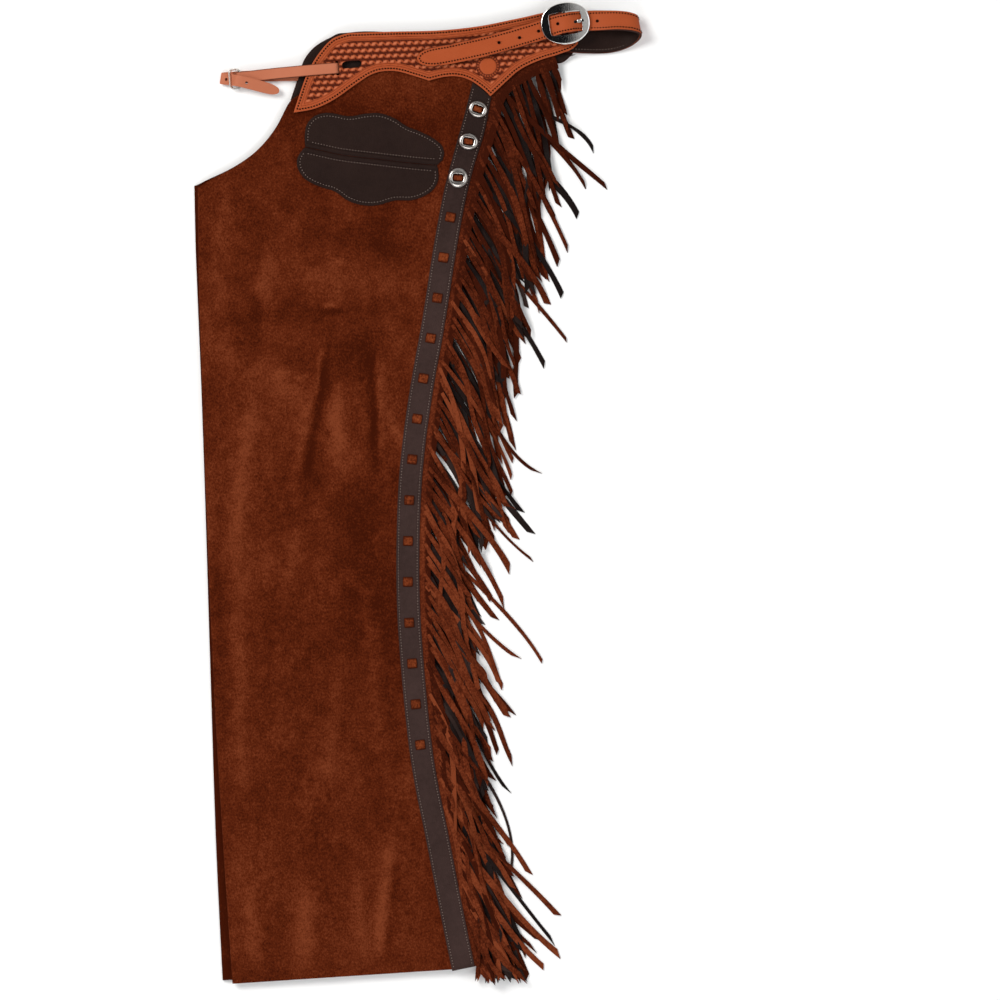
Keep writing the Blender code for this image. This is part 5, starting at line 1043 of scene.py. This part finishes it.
def strand_line(start, chance, reach):
    """A strand seen from above: out of its cut at a slant, then turning down as it falls."""
    lean = {key: np.interp(start[1], [item["y"] for item in FRINGE_LEAN], [item[key] for item in FRINGE_LEAN])
            for key in ("root", "tip", "long")}
    root = lean["root"] + chance.uniform(-CHANCE_LEAN["root"], CHANCE_LEAN["root"])
    tip = lean["tip"] + chance.gauss(0, CHANCE_LEAN["tip"])
    lean_by, reach_by = (CLUMP[key] * noise.noise((seed, start[1] * CLUMP["scale"], reach))
                         for key, seed in CLUMP_SEEDS.items())
    tip += lean_by
    if chance.random() < HANGING["share"]:
        root, tip = root + HANGING["root"], chance.uniform(*HANGING["tip"])
    long = lean["long"] * chance.uniform(*CHANCE_LEAN["long"])
    bend, wave = (chance.uniform(-CHANCE_LEAN[key], CHANCE_LEAN[key]) for key in ("bend", "wave"))
    stray = reach + chance.uniform(*CHANCE_LEAN["reach"]) + reach_by
    here, line = np.array(start), [np.array(start)]
    for k in range(STEPS):
        share = (k + 0.5) / STEPS
        swing = (bend * math.sin(share * 2 * math.pi) + wave * math.sin(share * 3 * math.pi)) * share
        here = here + toward(root + (tip - root) * rise(share, *TURNING) + swing) * long / STEPS
        line.append(here)
    line = np.array(line)
    limit_y, limit_x = zip(*FRINGE_REACH)
    free = (line[:, 1] > LOWEST_TIP) & (line[:, 0] < np.interp(line[:, 1], limit_y, limit_x) + stray)
    last = len(line) if free.all() else max(int(np.argmin(free)), LEAST_POINTS)
    return line[:last]


def stray_line(start, row):
    """A stray strand seen from above: one curve from its root to its own tip."""
    goal = np.array([row["tip_x"], row["tip_y"]])
    pull = np.linalg.norm(goal - start) * STRAY_PULL
    first, second = start + toward(STRAY_LEAVES) * pull, goal - toward(row["tip"]) * pull
    s = np.linspace(0, 1, STEPS + 1)[:, None]
    return (1 - s) ** 3 * start + 3 * (1 - s) ** 2 * s * first + 3 * (1 - s) * s ** 2 * second + s ** 3 * goal


def fall(line, halves, thick, ground, roll, pile):
    """Heights of a strand's underside: on what lies below, and no steeper than leather bends.  The ground
    is the uncut edge under each of its points, which it doesn't sink into."""
    run, root_z = lengths(line), ground[0]
    spots = line[:, None, :] + sides(line)[:, None, :] * halves[:, None, None] * PROBES[None, :, None]
    cells = np.clip((spots - GROUND_LOW).astype(int), 0, np.array(GROUND_SIZE) - 1)
    turned = halves * np.abs(np.sin(roll))
    need = PILE_TOP * np.tanh(pile[cells[..., 0], cells[..., 1]].max(axis=1) / PILE_TOP) + LOOSE + turned
    need = np.maximum(need, ground)
    away = np.abs(run[:, None] - run[None, :])
    level = (need[None, :] - STEEPEST * away).max(axis=1)
    level = np.maximum(level, root_z - ROOT_SLOPE * run)
    soft = np.exp(-(away / BENDS_OVER) ** 2)
    level = np.maximum((soft @ level) / soft.sum(axis=1), LOOSE)
    free = rise(run, FREE_FROM, FREE_AT)
    level = np.maximum(root_z * (1 - free) + level * free, ground)
    top = level + thick * PRESSED + turned * CURL_SHARE
    laid = run > LAID_FROM
    top = np.repeat(top[laid][:, None], len(PROBES), axis=1)
    np.maximum.at(pile, (cells[laid, :, 0], cells[laid, :, 1]), top)
    return level


def add_form(rings, tone, points, faces, tones):
    """Rings of points joined to one closed form, added to a piece with its tone."""
    places = (np.arange(rings[..., 0].size).reshape(rings.shape[:2]) + len(points)).tolist()
    points += rings.reshape(-1, 3).tolist()
    tones += np.broadcast_to(tone, rings.shape[:2]).ravel().tolist()
    for a, b in zip(places, places[1:]):
        faces += [[a[j], b[j], b[(j + 1) % len(a)], a[(j + 1) % len(a)]] for j in range(len(a))]
    faces += [places[0], places[-1][::-1]]


def newness(y):
    """How much darker the leather is at a height, where it has seen less wear."""
    return NEWER_TOP["much"] * rise(y, NEWER_TOP["from"], NEWER_TOP["to"])


def lay_band(pile, seam, out, top):
    """The fringe's uncut edge, as ground for what is laid on it."""
    for distance in np.arange(0.5, BAND, 0.5):
        cells = (seam + out * distance - GROUND_LOW).astype(int)
        np.maximum.at(pile, (cells[:, 0], cells[:, 1]), top)


def cut_strand(start, row, stray, seam, level, chance, pile):
    """One strand, laid on the heap: rings of points along it, and its tone.  Level is the height of the
    uncut edge along the seam."""
    thick, share = row["thick"], np.linspace(0, 1, STATIONS)
    proud = chance.uniform(*PROUD)
    line = stray_line(start, stray) if stray else strand_line(start, chance, row["reach"])
    line = taken_at(line, np.arange(len(line)), share ** CLOSER_AT_TIP * (len(line) - 1))
    wide = stray["wide"] / 2 if stray else chance.uniform(*STRAND_HALF)
    halves = wide * (1 - TAPER * share + WAVY["much"] * np.sin(share * WAVY["waves"] + chance.uniform(0, 6)))
    halves = ROOT_HALF + (halves - ROOT_HALF) * rise(share, *SPREADS)
    twist = math.radians(chance.choice(TWISTS) * chance.choice((-1, 1)))
    at = chance.uniform(*TWIST_AT)
    roll = twist * np.exp(-((share - at) / chance.uniform(*TWIST_LONG)) ** 2) * rise(share, *TWISTS_FROM)
    gap = np.linalg.norm(line[:, None] - seam[None], axis=2)
    ground = np.where(gap.min(axis=1) < ON_BAND, level[gap.argmin(axis=1)] + proud, -PILE_TOP)
    under = fall(line, halves, thick, ground, roll, pile)
    under[0] -= proud + ROOT_SINK
    slant = chance.choice((-1, 1)) * TIP_SLANT * chance.uniform(*SLANTS)
    tone = row["tone"] + chance.gauss(0, TONE_SPREAD) - newness(start[1])
    across, up = np.array(SECTION).T
    up = (up - 0.5) * thick
    across = across * halves[:, None]
    c, s = np.cos(roll)[:, None], np.sin(roll)[:, None]
    aside = sides(line)
    ahead = np.stack([aside[:, 1], -aside[:, 0]], axis=1)
    forward = np.array(SECTION)[:, 0] * slant * rise(share, *SLANTS_FROM)[:, None]
    flat = line[:, None] + aside[:, None] * (across * c - up * s)[..., None]
    flat = flat + ahead[:, None] * forward[..., None]
    return np.dstack([flat, np.maximum(under[:, None] + thick / 2 + across * s + up * c, LEAST_Z)]), tone


def make_fringe(row, pile, material):
    """One fringe: the uncut edge of the leather beside the seam, and the strands cut out of it."""
    chance = random.Random(row["seed"])
    seam = curve_through(SEAM_POINTS, SEAM_SAMPLES)
    seam = seam[seam[:, 1] <= row["top_y"]]
    out, run = -sides(seam), lengths(seam)
    thick = row["thick"]
    tree = tree_of(row["node"])
    hits = [tree.ray_cast(Vector((x * MM, y * MM, 1)), Vector((0, 0, -1)))[0]
            for x, y in seam + out * BAND_PROBE]
    found = np.array([k for k, hit in enumerate(hits) if hit])
    level = np.interp(np.arange(len(seam)), found, [hits[k].z / MM - thick for k in found])
    points, faces, tones = [], [], []
    distance, high, painted_shade_under = np.array(BAND_SECTION).T
    band = np.dstack([seam[:, None] + out[:, None] * distance[:, None], level[:, None] + high * thick])
    add_form(band, painted_shade_under - newness(seam[:, 1])[:, None], points, faces, tones)
    lay_band(pile, seam, out, level + ROOT_SINK)
    count = round(run[-1] / row["pitch"])
    roots = [(k + 0.5 + chance.uniform(-ROOT_JITTER, ROOT_JITTER)) * run[-1] / count for k in range(count)]
    strays = {}
    for item in STRAYS:
        if item["layer"] == row["layer"]:
            at = float(np.interp(item["y"], seam[:, 1], run))
            strays[min(set(range(count)) - set(strays), key=lambda k: abs(roots[k] - at))] = item
    order = list(range(count))
    chance.shuffle(order)
    for k in order:
        start = taken_at(seam + out * chance.uniform(*row["cut_from"]), run, [roots[k]])[0]
        add_form(*cut_strand(start, row, strays.get(k), seam, level, chance, pile), points, faces, tones)
    lay_band(pile, seam, out, level + thick)
    item = show(f"{row['node']}_strands", mesh_of(row["node"], points, faces, outward=True), [material])
    # tones: random per strand, with painted shade on the band under the strands and on the lower fringes
    paint(item, "rubbed", tones)
    paint(item, "tone", tones)
    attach(item, "root")
    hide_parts(row["node"])
    "suede" if "suede" in row["layer"] else "dark_leather"
    return item


fringe_suede = suede("fringe_suede", dark=(0.036, 0.0056, 0.0018), body=(0.092, 0.0160, 0.0050),
                     light=(0.185, 0.040, 0.014))
fringe_dark = dark_leather("fringe_dark", (0.0070, 0.0034, 0.0028), (0.030, 0.0165, 0.0135))
pile = np.zeros(GROUND_SIZE)
for row in FRINGES:
    make_fringe(row, pile, fringe_suede if "suede" in row["layer"] else fringe_dark)

# ---- Belt, straps and buckles ----------------------------------------------------------------------------
# The belt is 22 mm wide tan leather with a dark lining sewn in along both edges.  It leaves the right yoke,
# folds over and runs back through an oval nickel buckle.  Two narrow straps meet at a small wire buckle.
BELT_HOLES = table(
    "x y",
    (86.7, 480.8), (108.6, 486.1), (128.9, 493.1), (149.3, 500.5), (191.5, 503.8), (168.0, 502.6),
)
BELT_HOLE = {"radius": 1.7, "low": 9.0, "high": 24.0}
PRONG_SLOT = {"x": 168.2, "y": 503.1, "reach": 7.0}
FOLD = {"x": (176.0, 212.0), "y": 486.0, "below": 7.0, "up": 2.0}
STRAP_HOLES = table("x y low high", (-205.0, 442.4, 3.4, 7.5), (-183.0, 438.3, 9.0, 13.5))
STRAP_HOLE = 1.35
WALL = 0.7                         # a face that looks up less than this is a wall of a hole
BELT_ROW = {"inset": 2.9, "sink": 0.05, "above": 2.0}        # the belt's stitches, up to where it turns under
LINING_ROW = {"inset": 3.6, "below": 9.0, "faces_up": 0.25, "reach": 6.0}
BELT_SPOT = (77.0, 478.0, 19.0)    # on the belt's upper face
LINING_SPOT = (200.0, 478.0, 9.0)  # on the lining's face that shows in the fold
EDGE_DRESSING_AND_SHADE = {"belt": 0.62, "strap": 0.95}           # how dark the edges are painted: dark dressing, and painted shade along them
BUCKLE_BOW = {"x": 157.5, "y": 501.2, "turn": 8.5, "half": 26.9, "drop": 1.2}
BUCKLE_FACE = {"top": 22.3, "ground": 0.9, "as_cast": 2.1}  # the plate's face is ground flat to this depth
strap_tan = tan_leather("strap_tan", light=(0.47, 0.160, 0.088), body=(0.40, 0.120, 0.060))


def settle_fold(shape):
    """The belt's run below lies close up to the run above it, with no light between them."""
    for vertex in shape.verts:
        x, y, z = vertex.co / MM
        if z < FOLD["below"] and y > FOLD["y"] and FOLD["x"][0] < x < FOLD["x"][1]:
            vertex.co.y += FOLD["up"] * MM


def close_prong_hole(shape):
    """The belt's punched slot drawn shut round the prong, so that only a round hole shows."""
    middle = Vector((PRONG_SLOT["x"], PRONG_SLOT["y"])) * MM
    walls = [face for face in shape.faces if abs(face.normal.z) < WALL and all(
        (vertex.co.xy - middle).length < PRONG_SLOT["reach"] * MM for vertex in face.verts)]
    bmesh.ops.delete(shape, geom=walls, context="FACES")
    bmesh.ops.holes_fill(shape, edges=[edge for edge in shape.edges if edge.is_boundary], sides=0)
    bmesh.ops.recalc_face_normals(shape, faces=shape.faces)
    settle_fold(shape)


def darken_edges(item, much):
    """Dressing over a strap's edges darkens its sides too, just along the rim, and stands in as painted shade
    there.
    """
    dark_points = np.zeros(len(item.data.vertices))
    for face in item.data.polygons:
        if face.material_index == 1:
            dark_points[list(face.vertices)] = much
    paint(item, "recess", dark_points)


def punch(item, rows, radius, low, high):
    """Round holes punched through a strap."""
    drill = bmesh.new()
    for row in rows:
        made = bmesh.ops.create_cone(drill, cap_ends=True, segments=20, radius1=radius * MM,
                                     radius2=radius * MM, depth=(high - low) * MM)
        bmesh.ops.translate(drill, verts=made["verts"],
                            vec=Vector((row["x"] * MM, row["y"] * MM, (high + low) / 2 * MM)))
    mesh = bpy.data.meshes.new("drill")
    mesh.materials.append(tan_edge)
    drill.to_mesh(mesh)
    drill.free()
    tool = placed("drill", mesh)
    cut = item.modifiers.new("holes", "BOOLEAN")
    cut.operation = "DIFFERENCE"
    cut.material_mode = "TRANSFER"
    cut.object = tool
    bpy.context.view_layer.update()
    cut_mesh = bpy.data.meshes.new_from_object(item.evaluated_get(bpy.context.evaluated_depsgraph_get()))
    item.modifiers.clear()
    item.data = cut_mesh
    bpy.data.objects.remove(tool)


for node, material, edge in (
        ("belt", plain_tan, tan_edge), ("belt_lining", dark, dark_edge),
        ("front_strap_left", strap_tan, tan_edge), ("front_strap_right", strap_tan, tan_edge),
        ("belt_chape", plain_tan, tan_edge)):
    piece = refined(node, f"{node}_leather", [material, edge], levels=3, crease=0.85,
                    mend={"belt": close_prong_hole, "belt_lining": settle_fold}.get(node))
    if node == "belt":
        punch(piece, BELT_HOLES, **BELT_HOLE)
    if node == "front_strap_right":
        for hole in STRAP_HOLES:
            punch(piece, [hole], STRAP_HOLE, hole["low"], hole["high"])
    # dark dressing and painted shade along the edges
    darken_edges(piece, EDGE_DRESSING_AND_SHADE["strap" if "strap" in node else "belt"])
    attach(piece, "root")
    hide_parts(node)
seam = inset_line(face_rims("belt", BELT_SPOT)[0], BELT_ROW["inset"], sink=BELT_ROW["sink"])
stitches("belt_stitches", kept_runs(seam, seam[0][:, 2] > BELT_ROW["above"]), dark_thread)
line, normals = inset_line(face_rims("belt_lining", LINING_SPOT)[0], LINING_ROW["inset"])
seen = (line[:, 2] < LINING_ROW["below"]) & (normals[:, 2] > LINING_ROW["faces_up"])
seen &= line[:, 1] < LINING_SPOT[1] + LINING_ROW["reach"]
stitches("belt_lining_stitches", kept_runs((line, normals), seen), grey_thread, GREY_STITCH)
for node in ("belt_buckle", "belt_prong", "front_buckle"):
    piece = refined(node, f"{node}_nickel", [wire_nickel if node == "front_buckle" else nickel], crease=0.75,
                    sharp=math.radians(18))
    if node == "belt_buckle":
        points = points_of(piece)
        turn = math.radians(BUCKLE_BOW["turn"])
        aside = (points[:, 0] / MM - BUCKLE_BOW["x"]) * math.cos(turn) + (
            points[:, 1] / MM - BUCKLE_BOW["y"]) * math.sin(turn)
        down = BUCKLE_FACE["top"] - points[:, 2] / MM
        ground, as_cast = BUCKLE_FACE["ground"], BUCKLE_FACE["as_cast"]
        down -= np.clip(down, 0, ground) * (as_cast - np.clip(down, ground, as_cast)) / (as_cast - ground)
        bow = BUCKLE_BOW["drop"] * (aside / BUCKLE_BOW["half"]) ** 2
        points[:, 2] = (BUCKLE_FACE["top"] - down - bow) * MM
        piece.data.vertices.foreach_set("co", points.ravel())
    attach(piece, "root")
    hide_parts(node)

# ---- Studio ------------------------------------------------------------------------------------------------
# A pale floor, three soft lamps and a camera straight above, as a flat garment is shown for sale.
FLOOR_REACH = 5000.0               # in millimetres; the view and the lamps are in metres
VIEW_WIDTH = 1.07
VIEW_MIDDLE = (0.0877, -0.0072)
CAMERA_HEIGHT = 6.0
LAMPS = table(
    "name place size power colour",
    ("key", (-1.8, 1.4, 2.4), 1.5, 80, (1.0, 0.98, 0.95)),
    ("fill", (1.9, 0.2, 2.3), 2.2, 26, (0.96, 0.98, 1.0)),
    ("front", (-0.5, -2.2, 2.2), 2.0, 38, (1.0, 1.0, 1.0)),
)
# The sky is white along the horizon and dark above, so that flat metal looks dark but for a white card.
SKY_STOPS = [(0.0, (1.0, 1.0, 1.0)), (0.55, (0.85, 0.85, 0.85)), (0.90, (0.012, 0.012, 0.014))]
CARD = {"from": 0.06, "to": 0.35, "edges": (50.0, 8.0), "colour": (0.95, 0.95, 0.95)}   # white, to one side
SKY_POWER = 0.5
corners = [(across * FLOOR_REACH, up * FLOOR_REACH, 0) for across, up in ((-1, -1), (1, -1), (1, 1), (-1, 1))]
floor_finish = Finish("floor_paper", Roughness=0.9, Base_Color=(0.93, 0.93, 0.93, 1.0),
                      Specular_IOR_Level=0.1)
floor = placed("floor", mesh_of("floor", corners, [[0, 1, 2, 3]]))
floor.data.materials.append(floor_finish.material)
for row in LAMPS:
    lamp = bpy.data.lights.new(row["name"], "AREA")
    lamp.size = row["size"]
    lamp.energy = row["power"]
    lamp.color = row["colour"]
    holder = placed(row["name"], lamp)
    holder.location = row["place"]
    holder.rotation_mode = "QUATERNION"
    holder.rotation_quaternion = Vector(row["place"]).to_track_quat("Z", "Y")
backdrop = Finish("studio", "worlds", "Background", Strength=SKY_POWER)
way = backdrop.node("TexCoord", {}, {}, "Generated")
across, up = (backdrop.node("SeparateXYZ", {}, {"Vector": way}, axis) for axis in ("X", "Z"))
sky = backdrop.node("ValToRGB", {"stops": SKY_STOPS}, {"Fac": up})
near, far = CARD["edges"]
card = ((across - CARD["from"]) * near).within() * (1.0 - (across - CARD["to"]) * far).within()
backdrop.shade("Color", backdrop.blend(card, sky, CARD["colour"]))
bpy.context.scene.world = backdrop.material
bpy.context.scene.view_settings.view_transform = "Standard"
camera = bpy.data.cameras.new("camera")
camera.lens = camera.sensor_width * CAMERA_HEIGHT / VIEW_WIDTH
camera.clip_end = 50.0
holder = placed("camera", camera)
holder.location = (*VIEW_MIDDLE, CAMERA_HEIGHT)
bpy.context.scene.camera = holder
